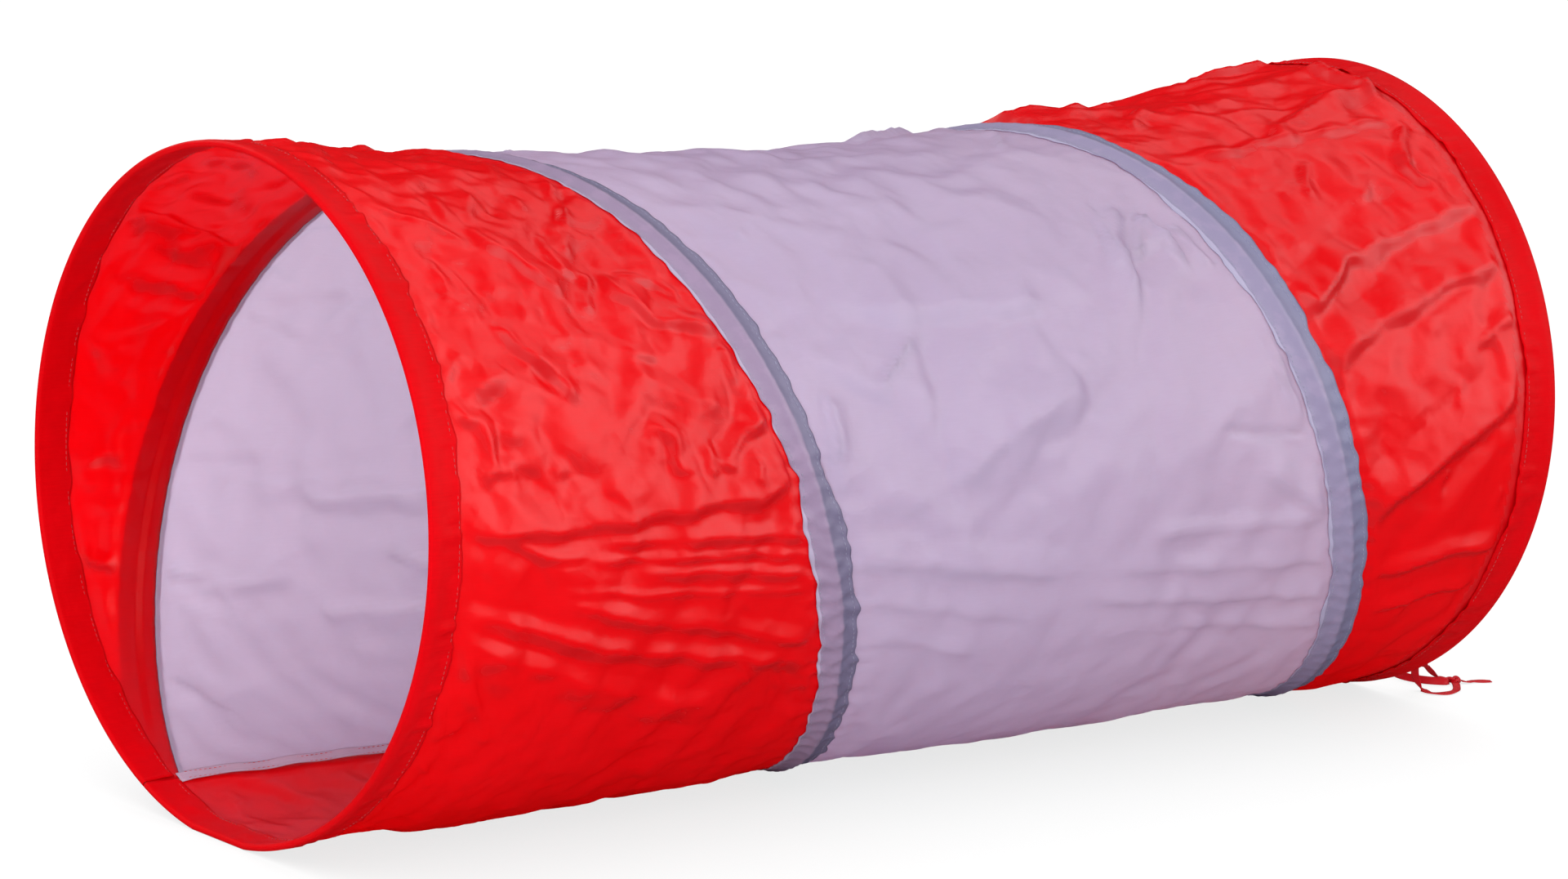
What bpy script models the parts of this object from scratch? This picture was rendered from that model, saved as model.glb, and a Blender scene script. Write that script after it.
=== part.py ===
"""A pop-up crawl tunnel for small children, at its real size in metres, +Z up.

Thin taffeta is cut as flat pattern pieces, rolled into a tube and held open by one
length of spring wire.  The wire closes on itself as a hoop inside the front hem, winds
along the tube for a little over two turns inside a sewn casing tape, and closes again as
a hoop inside the rear hem.  The front rim is at -X, the rear rim at +X, and the tube
lies on the floor at z = 0.

Every piece is placed in three simple coordinates: x along the tube from the front rim,
u around the tube in facets from the bottom (towards +Y first), and h outwards from the
middle of the cloth.  The tube is a prism of FACETS sides, so neighbours that share those
sides nest with the same gap everywhere.
"""

import math

import bmesh
import bpy
from mathutils import Matrix, Vector

# Overall sizes
LENGTH = 1.020            # rim to rim, at full stretch
OUTER_DIAMETER = 0.480    # over the hoops
WAIST_DIAMETER = 0.444    # over the casing halfway along, where the cloth's pull narrows the coil
FACETS = 48               # sides of the tube: 7.5 degrees each

# Wire, cloth and sewn strips
WIRE = 0.0024             # spring wire
CLOTH = 0.0006            # panel cloth, as a solid with the slack of its weave
LAYER = 0.0005            # hem cloth and tape
GAP = 0.0003              # between neighbours that touch
HEM_WIDTH = 0.028         # rim edge to the end of the hem
TAPE_WIDTH = 0.034        # casing tape over the wire
STITCH_MARGIN = 0.004     # stitch row to the edge of a hem or tape
CROWN = 0.0015            # flat top of a casing, each side of its wire
SEAM_STRIP = 0.010        # binding on the long seam
QUIET = 0.002             # cloth that stays taut beside a sewn strip

# How the wire runs
TURNS = 2.1375            # turns between leaving the front hoop and joining the rear one
LEAVES_AT = 13.5          # degrees past the bottom where it leaves the front hoop
SEAM_AT = 3               # facets past the bottom of the long seam and of each tape's end
PAIR_GAP = 0.0005         # between the two wires that lie side by side in a hem
SLEEVE_WALL = 0.0004      # crimped sleeve that closes a hoop
SLEEVE_LENGTH = 0.012
JOG = 3                   # facets over which a hoop steps aside to close

# How the cloth hangs
DRAW_IN = 0.0075          # waist of a panel between two wires
FLOOR_SAG = 0.0018        # belly of a panel that lies on the floor
FOLD = 0.0022             # slanting drag folds
FOLD_EVERY = 6.0          # facets from one fold to the next
FOLD_SLANT = 0.330        # length over which a fold runs once round its spacing
ROW = 0.042               # spacing of the rows across a panel

# The ties
RIBBON_WIDTH = 0.006
RIBBON_THICK = 0.0010
TAB_LENGTH = 0.014
TAB_FACET = -3.5          # facet of the rear hem that carries the ties
KNOT_SIZE = (0.0115, 0.0095, 0.0056)
KNOT_TURN = math.radians(-20)
KNOT_RISE = 0.0012        # a ribbon lifts this much where it enters the knot

# What follows from them
STEP = math.radians(360 / FACETS)
H_WING = CLOTH / 2 + GAP                       # inner face of a tape or hem wing
H_WIRE = H_WING + WIRE / 2                     # middle of the wire, on the cloth
H_CROWN = H_WIRE + WIRE / 2 + GAP              # inner face of a casing's crown
H_OUT = H_CROWN + LAYER                        # outermost face, which meets the floor
RADIUS = OUTER_DIAMETER / 2 - H_OUT            # middle of the cloth
FLOOR_COS = math.cos(STEP)                     # the lowest two facets lie flat
FACET = 2 * RADIUS * math.sin(STEP / 2)        # one facet's width in the flat pattern
SLEEVE_LIFT = GAP + SLEEVE_WALL
X_HOOP = LAYER + GAP + SLEEVE_WALL + GAP + WIRE / 2
X_BESIDE = X_HOOP + WIRE + PAIR_GAP            # the second wire of a pair
X_CLOTH = X_BESIDE + WIRE / 2 + GAP + SLEEVE_WALL + 2 * GAP
U_LEAVES = math.radians(LEAVES_AT) / STEP
U_JOINS = U_LEAVES + TURNS * FACETS
CLIMB = (LENGTH - 2 * X_BESIDE) / (TURNS * FACETS)     # along the tube, each facet
FRONT_CRIMP = -3.5
REAR_CRIMP = math.floor(U_JOINS) + 7.5
SLEEVE_U = SLEEVE_LENGTH / 2 / FACET
JOINT_BESIDE = TAPE_WIDTH / 2 - STITCH_MARGIN  # wire to the row that joins two panels

RED = (0.80, 0.010, 0.016)
LAVENDER = (0.56, 0.46, 0.60)
SLATE = (0.33, 0.34, 0.47)
DARK_RED = (0.62, 0.006, 0.014)
STEEL = (0.42, 0.42, 0.43)


# Placing


def narrowing(x):
    """How much less the tube's radius is at x than at the hoops: a half wave between the hems."""
    start = HEM_WIDTH + QUIET
    share = min(1.0, max(0.0, (x - start) / (LENGTH - 2 * start)))
    return (OUTER_DIAMETER - WAIST_DIAMETER) / 2 * math.sin(math.pi * share)


def corner(x, u, h):
    """(y, z) of the prism's corner number u at x, at a height h off the middle of the cloth."""
    radius = RADIUS + h - narrowing(x)
    axis = (OUTER_DIAMETER / 2 - narrowing(x)) * FLOOR_COS
    y = radius * math.sin(u * STEP)
    z = max(-radius * math.cos(u * STEP), -radius * FLOOR_COS)
    return y, z + axis


def place(x, u, h):
    """The point at x along the tube, u facets round it and h off the middle of the cloth."""
    low = math.floor(u + 1e-9)
    share = u - low
    y0, z0 = corner(x, low, h)
    y1, z1 = corner(x, low + 1, h)
    return Vector((x - LENGTH / 2, y0 + (y1 - y0) * share, z0 + (z1 - z0) * share))


def wire_x(u):
    """Where the one length of wire lies along the tube, at u facets from the first bottom."""
    into_pair = (u - (FRONT_CRIMP - 1.5 - JOG)) / JOG
    out_of_pair = (u - (REAR_CRIMP + 1.5)) / JOG
    if out_of_pair > 0:
        return LENGTH - X_BESIDE + (X_BESIDE - X_HOOP) * min(1.0, out_of_pair)
    if u >= U_JOINS:
        return LENGTH - X_BESIDE
    if u > U_LEAVES:
        return X_BESIDE + CLIMB * (u - U_LEAVES)
    return X_HOOP + (X_BESIDE - X_HOOP) * min(1.0, max(0.0, into_pair))


def line_x(u):
    """The straight line of the coil in the flat pattern."""
    return X_BESIDE + CLIMB * (u - U_LEAVES)


def columns(first, last):
    """The corners from first to last, with both ends."""
    inner = range(math.floor(first + 1e-6) + 1, math.ceil(last - 1e-6))
    return [first, *inner, last]


# Making objects


def material(name, color, roughness, metallic=0.0):
    made = bpy.data.materials.new(name)
    made.use_nodes = True
    shader = made.node_tree.nodes["Principled BSDF"]
    shader.inputs["Base Color"].default_value = (*color, 1.0)
    shader.inputs["Roughness"].default_value = roughness
    shader.inputs["Metallic"].default_value = metallic
    made.diffuse_color = (*color, 1.0)
    return made


def add(name, data, color, roughness, metallic=0.0):
    """Links a mesh or curve to the tunnel's collection as a named object."""
    data.materials.append(material(name, color, roughness, metallic))
    made = bpy.data.objects.new(name, data)
    PARTS.objects.link(made)
    return made


def mesh_of(bm, name):
    """A mesh of what bm holds, with its faces turned outwards."""
    bmesh.ops.recalc_face_normals(bm, faces=bm.faces)
    data = bpy.data.meshes.new(name)
    bm.to_mesh(data)
    bm.free()
    data.shade_smooth()
    data.set_sharp_from_angle(angle=math.radians(30))
    return data


def loft(sections):
    """A closed body through outlines that have as many points each, capped at both ends."""
    bm = bmesh.new()
    rings = [[bm.verts.new(point) for point in section] for section in sections]
    for one, two in zip(rings, rings[1:]):
        for i in range(len(one)):
            j = (i + 1) % len(one)
            bm.faces.new((one[i], one[j], two[j], two[i]))
    bm.faces.new(rings[0][::-1])
    bm.faces.new(rings[-1])
    return bm


def cut_and_close(bm, x, keep_above):
    """Cuts a closed body square across the tube at x and closes the cut."""
    bmesh.ops.bisect_plane(
        bm,
        geom=[*bm.verts, *bm.edges, *bm.faces],
        dist=1e-6,
        plane_co=(x - LENGTH / 2, 0, 0),
        plane_no=(1, 0, 0),
        clear_inner=keep_above,
        clear_outer=not keep_above,
    )
    bmesh.ops.holes_fill(bm, edges=[e for e in bm.edges if e.is_boundary], sides=0)


def tube(name, points, thickness, resolution):
    """A round wire or cord through the points."""
    data = bpy.data.curves.new(name, "CURVE")
    data.dimensions = "3D"
    spline = data.splines.new("POLY")
    spline.points.add(len(points) - 1)
    for knot, point in zip(spline.points, points):
        knot.co = (*point, 1.0)
    data.bevel_depth = thickness / 2
    data.bevel_resolution = resolution
    data.use_fill_caps = True
    return data


def gap_to_itself(points, thickness, skip):
    """Least clear space between parts of a tube that are over skip points apart."""
    least = math.inf
    for i, one in enumerate(points):
        for two in points[i + skip:]:
            least = min(least, (one - two).length)
    return least - thickness


# The spring wire


def wire_points(first, last):
    return [place(wire_x(u), u, H_WIRE) for u in columns(first, last)]


def make_wire():
    """One length of wire in three stretches: two hoops that stay round, and the coil."""
    cut = 0.5 * GAP / FACET
    coil_from = math.floor(U_LEAVES)
    coil_to = math.ceil(U_JOINS) + 1
    free_end = SLEEVE_U + 0.1
    stretches = {
        "front_hoop": (FRONT_CRIMP - FACETS - free_end, coil_from - cut),
        "coil_wire": (coil_from + cut, coil_to - cut),
        "rear_hoop": (coil_to + cut, REAR_CRIMP + FACETS + free_end),
    }
    for name, (first, last) in stretches.items():
        points = wire_points(first, last)
        data = tube(name, points, WIRE, 1)
        data.splines[0].use_smooth = True
        add(name, data, STEEL, 0.32, 1.0)
        gap = gap_to_itself(points, WIRE, FACETS // 2)
        print(f"{name}: least gap to itself {gap * 1000:.2f} mm")


def make_sleeve(name, at, x_near, x_far):
    """The flat oval sleeve that is crimped over two wires lying side by side."""
    data = bpy.data.curves.new(name, "CURVE")
    data.dimensions = "2D"
    data.fill_mode = "BOTH"
    data.extrude = SLEEVE_LENGTH / 2
    half = abs(x_far - x_near) / 2
    for radius in (WIRE / 2 + GAP + SLEEVE_WALL, WIRE / 2 + GAP):
        spline = data.splines.new("POLY")
        turn = [math.radians(a) for a in range(-90, 91, 20)]
        right = [(half + radius * math.cos(a), radius * math.sin(a)) for a in turn]
        left = [(-x, -y) for x, y in right]
        spline.points.add(len(right + left) - 1)
        for knot, (x, y) in zip(spline.points, right + left):
            knot.co = (x, y, 0, 1)
        spline.use_cyclic_u = True
    made = add(name, data, STEEL, 0.4, 1.0)
    low, high = place(0, at - 0.5, H_WIRE), place(0, at + 0.5, H_WIRE)
    along = (high - low).normalized()
    across = Vector((1, 0, 0))
    frame = Matrix((across, along.cross(across), along)).transposed().to_4x4()
    middle = place((x_near + x_far) / 2, at, H_WIRE)
    made.matrix_world = Matrix.Translation(middle) @ frame


# Hems and casing tapes


def casing_height(beside):
    """Inner face of a casing at a distance beside its wire: a crown, then straight to the stitches."""
    flank = TAPE_WIDTH / 2 - STITCH_MARGIN - CROWN
    share = min(1.0, max(0.0, (abs(beside) - CROWN) / flank))
    return H_CROWN + (H_WING - H_CROWN) * share


def hem_section(wire, lift):
    """(x, h) outline of a folded hem, from the rim inwards, with its innermost wire at x = wire."""
    outline = []
    for grow in (LAYER, 0.0):
        top = H_CROWN + lift
        round_off = (top + H_WING) / 2
        crown_end = min(wire + CROWN, HEM_WIDTH - 2 * GAP)
        stitch = max(HEM_WIDTH - STITCH_MARGIN, wire + TAPE_WIDTH / 2 - STITCH_MARGIN)
        low_from = min(stitch, HEM_WIDTH - GAP)

        def height(x):
            share = min(1.0, max(0.0, (x - crown_end) / (stitch - crown_end)))
            return top + (H_WING - top) * share + grow

        points = [(x, height(x)) for x in (HEM_WIDTH, low_from, crown_end)]
        middle = (LAYER + round_off, (top - H_WING) / 2)
        for i in range(7):
            a = math.radians(90 + 30 * i)
            radius = round_off + grow
            points.append((middle[0] + radius * math.cos(a), middle[1] + radius * math.sin(a)))
        points.append((HEM_WIDTH, -H_WING - grow))
        outline.append(points)
    return outline[0] + outline[1][::-1]


def hem_state(u, rear):
    """(innermost wire from the rim, lift for the sleeve) of a hem at the corner u."""
    crimp = (REAR_CRIMP if rear else FRONT_CRIMP) % FACETS
    lift = SLEEVE_LIFT if abs((u - crimp + FACETS / 2) % FACETS - FACETS / 2) < 0.6 else 0.0
    wires = []
    for turn in range(-2, math.ceil(TURNS) + 3):
        at = u % FACETS + turn * FACETS
        if FRONT_CRIMP - FACETS - 1 < at < REAR_CRIMP + FACETS + 1:
            near = [wire_x(v) for v in (at - 1, at, at + 1)]
            near = [LENGTH - x for x in near] if rear else near
            if min(near) < HEM_WIDTH + WIRE:
                leaves = max(near) > HEM_WIDTH - WIRE
                wires.append(HEM_WIDTH if leaves else near[1])
    return max(wires), lift


def make_hem(name, rear):
    """A sleeve folded round the hoop; its two ends butt at the long seam."""
    ends = 0.5 * GAP / FACET
    sections = []
    for u in columns(SEAM_AT + ends, SEAM_AT + FACETS - ends):
        outline = hem_section(*hem_state(round(u), rear))
        if rear:
            outline = [(LENGTH - x, h) for x, h in reversed(outline)]
        sections.append([place(x, u, h) for x, h in outline])
    add(name, mesh_of(loft(sections), name), DARK_RED, 0.5)


def make_tape(name, turn):
    """One turn of the casing tape, from seam to seam, cut where it meets a hem."""
    ends = 0.5 * GAP / FACET
    first = SEAM_AT + turn * FACETS
    last = min(first + FACETS, math.ceil(U_JOINS) + 1)
    half = TAPE_WIDTH / 2
    beside = (-half, -half + STITCH_MARGIN, -CROWN, CROWN, half - STITCH_MARGIN, half)
    sections = []
    for u in columns(first + ends, last - ends):
        under = [(line_x(u) + b, casing_height(b)) for b in beside]
        over = [(x, h + LAYER) for x, h in reversed(under)]
        sections.append([place(x, u, h) for x, h in under + over])
    bm = loft(sections)
    cut_and_close(bm, HEM_WIDTH + GAP, True)
    cut_and_close(bm, LENGTH - HEM_WIDTH - GAP, False)
    add(name, mesh_of(bm, name), SLATE, 0.45)


# The cloth panels


def free_span(x, u):
    """(start, end) of the loose cloth that holds x at u, between sewn strips, or None."""
    held = [(0.0, HEM_WIDTH + QUIET), (LENGTH - HEM_WIDTH - QUIET, LENGTH)]
    turn = 0
    while turn * FACETS < U_JOINS:
        middle = line_x((u - SEAM_AT) % FACETS + SEAM_AT + turn * FACETS)
        reach = TAPE_WIDTH / 2 + QUIET
        held.append((middle - reach, middle + reach))
        turn += 1
    if any(a - 1e-7 <= x <= b + 1e-7 for a, b in held):
        return None
    start = max(b for a, b in held if b < x)
    end = min(a for a, b in held if a > x)
    return start, end


def hang(x, u):
    """Height of the loose cloth off the tube: a drawn-in waist, a belly and slanting folds."""
    span = free_span(x, u)
    if span is None:
        return 0.0
    width = span[1] - span[0]
    at = (x - span[0]) / width
    bow = 4 * at * (1 - at)
    size = min(1.0, width / (CLIMB * FACETS - TAPE_WIDTH)) ** 1.5
    from_seam = min((u - SEAM_AT) % FACETS, (SEAM_AT - u) % FACETS) * FACET
    loose = min(1.0, max(0.0, (from_seam - SEAM_STRIP / 2 - QUIET) / (1.5 * FACET)))
    from_bottom = math.degrees(min(u % FACETS, -u % FACETS) * STEP)
    low = math.exp(-((from_bottom / 32) ** 2))
    waist = -DRAW_IN * (1 - low) + FLOOR_SAG * low
    wave = math.sin(2 * math.pi * (u / FOLD_EVERY + x / FOLD_SLANT))
    height = (waist * bow + FOLD * (1 - 0.7 * low) * wave * math.sqrt(bow)) * size * loose
    return min(height, H_OUT - CLOTH / 2 - 2 * GAP)


def cut_flat(bm, point, direction, keep=0):
    """Cuts a flat pattern piece along a line; keep is +1 or -1 for the larger or smaller x side."""
    bmesh.ops.bisect_plane(
        bm,
        geom=[*bm.verts, *bm.edges, *bm.faces],
        dist=2e-5,
        plane_co=(*point, 0),
        plane_no=(direction[1], -direction[0], 0),
        clear_inner=keep > 0,
        clear_outer=keep < 0,
    )


def make_panel(name, color, front_turn, rear_turn):
    """A pattern piece from one joint to the next, laid out flat, cut, rolled up and thickened.

    front_turn and rear_turn number the coil's turns at its two edges; None is a hem.
    """
    s0, s1 = SEAM_AT * FACET, (SEAM_AT + FACETS) * FACET
    slope = (CLIMB * FACETS, s1 - s0)

    def joint(turn, beside):
        return line_x(SEAM_AT + turn * FACETS) + beside, s0

    low = X_CLOTH
    if front_turn is not None:
        low = joint(front_turn, 0)[0]
    high = LENGTH - X_CLOTH
    if rear_turn is not None:
        high = joint(rear_turn + 1, TAPE_WIDTH)[0]
    bm = bmesh.new()
    bmesh.ops.create_grid(bm, x_segments=round((high - low) / ROW), y_segments=FACETS, size=0.5)
    for vert in bm.verts:
        vert.co.x = low + (vert.co.x + 0.5) * (high - low)
        vert.co.y = s0 + (vert.co.y + 0.5) * (s1 - s0)
    if front_turn is not None:
        cut_flat(bm, joint(front_turn, JOINT_BESIDE + GAP), slope, 1)
    if rear_turn is not None:
        cut_flat(bm, joint(rear_turn, JOINT_BESIDE - GAP), slope, -1)
    turn = 0
    while turn * FACETS < U_JOINS:
        for side in (-1, 1):
            cut_flat(bm, joint(turn, side * (TAPE_WIDTH / 2 + QUIET)), slope)
        turn += 1
    for x in (HEM_WIDTH + QUIET, LENGTH - HEM_WIDTH - QUIET):
        cut_flat(bm, (x, s0), (0, 1))
    beside_seam = SEAM_STRIP / 2 + QUIET
    for s in (s0 + beside_seam, s1 - beside_seam):
        cut_flat(bm, (low, s), (-1, 0))
    for vert in bm.verts:
        s = min(s1 - 0.7 * GAP, max(s0 + 0.7 * GAP, vert.co.y))
        u = s / FACET
        vert.co = place(vert.co.x, u, hang(vert.co.x, u))
    made = add(name, mesh_of(bm, name), color, 0.35)
    thick = made.modifiers.new("cloth", "SOLIDIFY")
    thick.thickness = CLOTH
    thick.offset = 0.0
    thick.use_even_offset = True


def make_seam_binding():
    """The narrow strip over the long seam, inside the tube from hem to hem."""
    half = SEAM_STRIP / 2 / FACET
    ring = [(SEAM_AT + side * half, -H_WING) for side in (-1, 0, 1)]
    ring += [(u, -H_WING - LAYER) for u, _ in reversed(ring)]
    start = HEM_WIDTH + GAP
    rows = round((LENGTH - 2 * start) / (ROW / 2))
    spots = [start + (LENGTH - 2 * start) * i / rows for i in range(rows + 1)]
    sections = [[place(x, u, h) for u, h in ring] for x in spots]
    add("seam_binding", mesh_of(loft(sections), "seam_binding"), LAVENDER, 0.5)


# The ties


def smooth_route(points, spacing, lowest):
    """Points about as far apart as spacing, on a smooth curve through the route."""
    padded = [points[0] * 2 - points[1], *points, points[-1] * 2 - points[-2]]
    route = [points[0]]
    for a, b, c, d in zip(padded, padded[1:], padded[2:], padded[3:]):
        steps = max(1, round((c - b).length / spacing))
        for i in range(1, steps + 1):
            t = i / steps
            route.append(
                0.5 * (2 * b + (c - a) * t + (2 * a - 5 * b + 4 * c - d) * t**2
                       + (3 * b - a - 3 * c + d) * t**3)
            )
    for point in route:
        point.z = max(point.z, lowest)
    return route


def ribbon(name, points, on_edge=False):
    """A flat ribbon along a route, level across or standing on its edge."""
    across, tall = (RIBBON_THICK, RIBBON_WIDTH) if on_edge else (RIBBON_WIDTH, RIBBON_THICK)
    route = smooth_route(points, 0.008, tall / 2 + GAP)
    sections = []
    for before, here, after in zip([route[0], *route], route, [*route[1:], route[-1]]):
        ahead = (after - before).normalized()
        side = ahead.cross((0, 0, 1)).normalized() * (across / 2)
        up = side.cross(ahead).normalized() * (tall / 2)
        sections.append([here - side - up, here + side - up, here + side + up, here - side + up])
    add(name, mesh_of(loft(sections), name), RED, 0.55)


def make_ties():
    """A ribbon folded in half, sewn inside the rear hem; its two ends cross once on the floor."""
    depth = H_WING + LAYER + GAP
    tab_thick = 2 * RIBBON_THICK + GAP
    tab_width = 2 * RIBBON_WIDTH + 0.002
    low = place(0, TAB_FACET - 0.5, -depth - tab_thick / 2)
    high = place(0, TAB_FACET + 0.5, -depth - tab_thick / 2)
    across = (high - low).normalized()
    out = Vector((1, 0, 0))
    middle = (low + high) / 2
    middle.x = LENGTH / 2 + 0.001 - TAB_LENGTH / 2
    bpy.ops.mesh.primitive_cube_add(size=1)
    tab = bpy.context.object
    tab.name = tab.data.name = "tie_tab"
    tab.scale = (TAB_LENGTH, tab_width, tab_thick)
    tab.rotation_euler = Matrix((out, across, out.cross(across))).transposed().to_euler()
    tab.location = middle
    tab.data.materials.append(material("tie_tab", RED, 0.55))
    for collection in tab.users_collection:
        collection.objects.unlink(tab)
    PARTS.objects.link(tab)

    knot_at = Vector((LENGTH / 2 + 0.068, -0.083, KNOT_SIZE[2] / 2 + GAP))
    bpy.ops.mesh.primitive_uv_sphere_add(segments=16, ring_count=10, radius=0.5)
    knot = bpy.context.object
    knot.name = knot.data.name = "tie_knot"
    knot.scale = KNOT_SIZE
    knot.rotation_euler = (0, 0, KNOT_TURN)
    knot.location = knot_at
    knot.data.shade_smooth()
    knot.data.materials.append(material("tie_knot", RED, 0.55))
    for collection in knot.users_collection:
        collection.objects.unlink(knot)
    PARTS.objects.link(knot)

    lies = RIBBON_THICK / 2 + GAP
    end = middle + out * (TAB_LENGTH / 2 + GAP)
    step = across * (RIBBON_WIDTH / 2 + 0.0008)

    def into_knot(angle):
        """The last two points of a ribbon that runs straight into the knot's side."""
        turned = math.radians(angle)
        own = turned - KNOT_TURN
        side = 2 * math.hypot(math.cos(own) / KNOT_SIZE[0], math.sin(own) / KNOT_SIZE[1])
        reach = 1 / side + GAP
        away = Vector((math.cos(turned), math.sin(turned), 0))
        points = [knot_at + away * (reach + RIBBON_WIDTH), knot_at + away * reach]
        for point, rise in zip(points, (0, KNOT_RISE)):
            point.z = lies + rise
        return points

    def floor(x, y):
        return Vector((LENGTH / 2 + x, y, lies))

    starts = [end + step, end - step]
    ribbon("tie_strand_long", [starts[0], starts[0] + out * 0.006,
                               Vector((LENGTH / 2 + 0.020, -0.089, 0.012)),
                               floor(0.028, -0.089), floor(0.027, -0.099),
                               floor(0.036, -0.106), floor(0.050, -0.103), *into_knot(235)])
    ribbon("tie_strand_short", [starts[1], starts[1] + out * 0.007,
                                Vector((LENGTH / 2 + 0.030, -0.088, 0.019)),
                                Vector((LENGTH / 2 + 0.050, -0.070, 0.013)),
                                floor(0.068, -0.064), *into_knot(80)])
    tail = [*into_knot(178)[::-1], floor(0.044, -0.068), floor(0.042, -0.046), floor(0.058, -0.016)]
    for point in tail:
        point.z = RIBBON_WIDTH / 2 + GAP
    ribbon("tie_tail_long", tail, on_edge=True)
    ribbon("tie_tail_short", [*into_knot(-20)[::-1], floor(0.084, -0.087), floor(0.097, -0.094)])


# Build

for old in list(bpy.data.objects):
    bpy.data.objects.remove(old, do_unlink=True)
PARTS = bpy.data.collections.new("crawl_tunnel")
bpy.context.scene.collection.children.link(PARTS)

make_wire()
make_sleeve("front_sleeve", FRONT_CRIMP, X_HOOP, X_BESIDE)
make_sleeve("rear_sleeve", REAR_CRIMP, LENGTH - X_BESIDE, LENGTH - X_HOOP)
make_hem("front_hem", rear=False)
make_hem("rear_hem", rear=True)
make_panel("front_panel", RED, None, 0)
make_panel("middle_panel", LAVENDER, 0, 1)
make_panel("rear_panel", RED, 1, None)
for number in range(math.ceil((U_JOINS - SEAM_AT) / FACETS)):
    make_tape(f"casing_tape_{number + 1}", number)
make_seam_binding()
make_ties()
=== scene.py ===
# %% [markdown]
# # A pop-up crawl tunnel
# The real thing is thin taffeta, sewn into a tube over one length of spring wire.  The wire
# is a hoop at each rim and a loose coil in between, and the cloth is what keeps the coil
# from springing further open.  The frame holds the tunnel's solids; this script gives it
# cloth that hangs, creases and shines like cloth.

# %% Load the frame
import math

import bmesh
import bpy
import numpy as np
from mathutils import Matrix, Vector, noise


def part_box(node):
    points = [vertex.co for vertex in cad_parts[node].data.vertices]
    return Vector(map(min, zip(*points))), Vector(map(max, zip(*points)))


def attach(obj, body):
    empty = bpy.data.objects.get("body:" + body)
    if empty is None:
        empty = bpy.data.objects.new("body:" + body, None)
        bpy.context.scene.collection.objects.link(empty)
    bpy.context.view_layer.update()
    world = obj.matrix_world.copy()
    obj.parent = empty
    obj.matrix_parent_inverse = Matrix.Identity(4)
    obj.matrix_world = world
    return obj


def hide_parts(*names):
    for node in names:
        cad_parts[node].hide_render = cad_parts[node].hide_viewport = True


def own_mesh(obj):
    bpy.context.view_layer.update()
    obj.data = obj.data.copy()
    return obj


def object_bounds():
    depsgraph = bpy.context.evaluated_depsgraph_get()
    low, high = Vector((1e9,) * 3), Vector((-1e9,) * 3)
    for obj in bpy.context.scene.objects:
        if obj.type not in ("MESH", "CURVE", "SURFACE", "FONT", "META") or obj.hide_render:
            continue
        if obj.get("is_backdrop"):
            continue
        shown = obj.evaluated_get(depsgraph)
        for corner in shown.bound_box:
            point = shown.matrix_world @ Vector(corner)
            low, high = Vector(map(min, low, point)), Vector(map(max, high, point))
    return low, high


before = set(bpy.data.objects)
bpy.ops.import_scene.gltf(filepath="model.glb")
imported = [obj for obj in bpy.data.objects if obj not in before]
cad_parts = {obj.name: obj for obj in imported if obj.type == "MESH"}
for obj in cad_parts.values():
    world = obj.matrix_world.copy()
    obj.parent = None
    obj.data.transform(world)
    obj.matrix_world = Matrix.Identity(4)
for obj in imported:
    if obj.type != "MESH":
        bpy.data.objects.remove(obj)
cad_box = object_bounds()

# %% [markdown]
# ## Sizes
# A tunnel is easiest to think about flat, as it is cut: x runs along the tube from the
# front rim, and turn runs round it from the bottom, towards +Y first.  A third number is
# the height off the middle of the cloth.  The wire is a straight line in that flat pattern.

# %% Sizes of the tunnel, in metres
LENGTH = 1.020
RIM_DIAMETER = 0.480
WAIST_DIAMETER = 0.444
RADIUS = 0.2362           # middle of the cloth at the rims
FLAT = math.radians(7.5)  # the tube lies flat on the floor this far each side
WIRE = 0.0024
LAYER = 0.0005            # hem cloth or tape
GAP = 0.0003
HEM_WIDTH = 0.028
REAR_HEM = 0.030          # the rear hem is turned deeper
TURNED_IN = 0.0375        # and its raw edge lies this far in, under the cloth
HEM_WAVE = 0.0014         # how far a hem's sewn edge wanders
TAPE_WIDTH = 0.034
STITCH_MARGIN = 0.004
WING = 0.0006             # inner face of a sewn layer, off the middle of the cloth
CROWN = WING + WIRE + GAP  # the same over the wire
CLOTH_EDGE = 0.0083       # where the panels end inside the hems

TURN = 2 * math.pi
LEAVES = math.radians(13.5)   # where the wire leaves the front hoop
JOINS = LEAVES + math.radians(2.1375 * 360)
SEAM = math.radians(22.5)     # the long seam
HOOP_X = 0.0027               # the hoop's wire, and the coil's where it lies beside it
BESIDE_X = 0.0056
CLIMB = (LENGTH - 2 * BESIDE_X) / (JOINS - LEAVES)
JOINT = TAPE_WIDTH / 2 - STITCH_MARGIN   # from the wire to the row that joins two panels


def narrowing(x):
    """How much less the radius is at x than at the hoops."""
    start = HEM_WIDTH + 0.002
    share = np.clip((x - start) / (LENGTH - 2 * start), 0, 1)
    return (RIM_DIAMETER - WAIST_DIAMETER) / 2 * np.sin(math.pi * share)


def place(x, turn, height):
    """Points at x along the tube, turn round it and height off the middle of the cloth."""
    less = narrowing(x)
    radius = RADIUS + height - less
    axis = (RIM_DIAMETER / 2 - less) * math.cos(FLAT)
    z = np.maximum(-radius * np.cos(turn), -radius * math.cos(FLAT)) + axis
    return np.stack(np.broadcast_arrays(x - LENGTH / 2, radius * np.sin(turn), z), axis=-1)


def line(turn):
    """Where the tape's middle lies along the tube; turn counts on from the first bottom."""
    return BESIDE_X + CLIMB * (turn - LEAVES)


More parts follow.
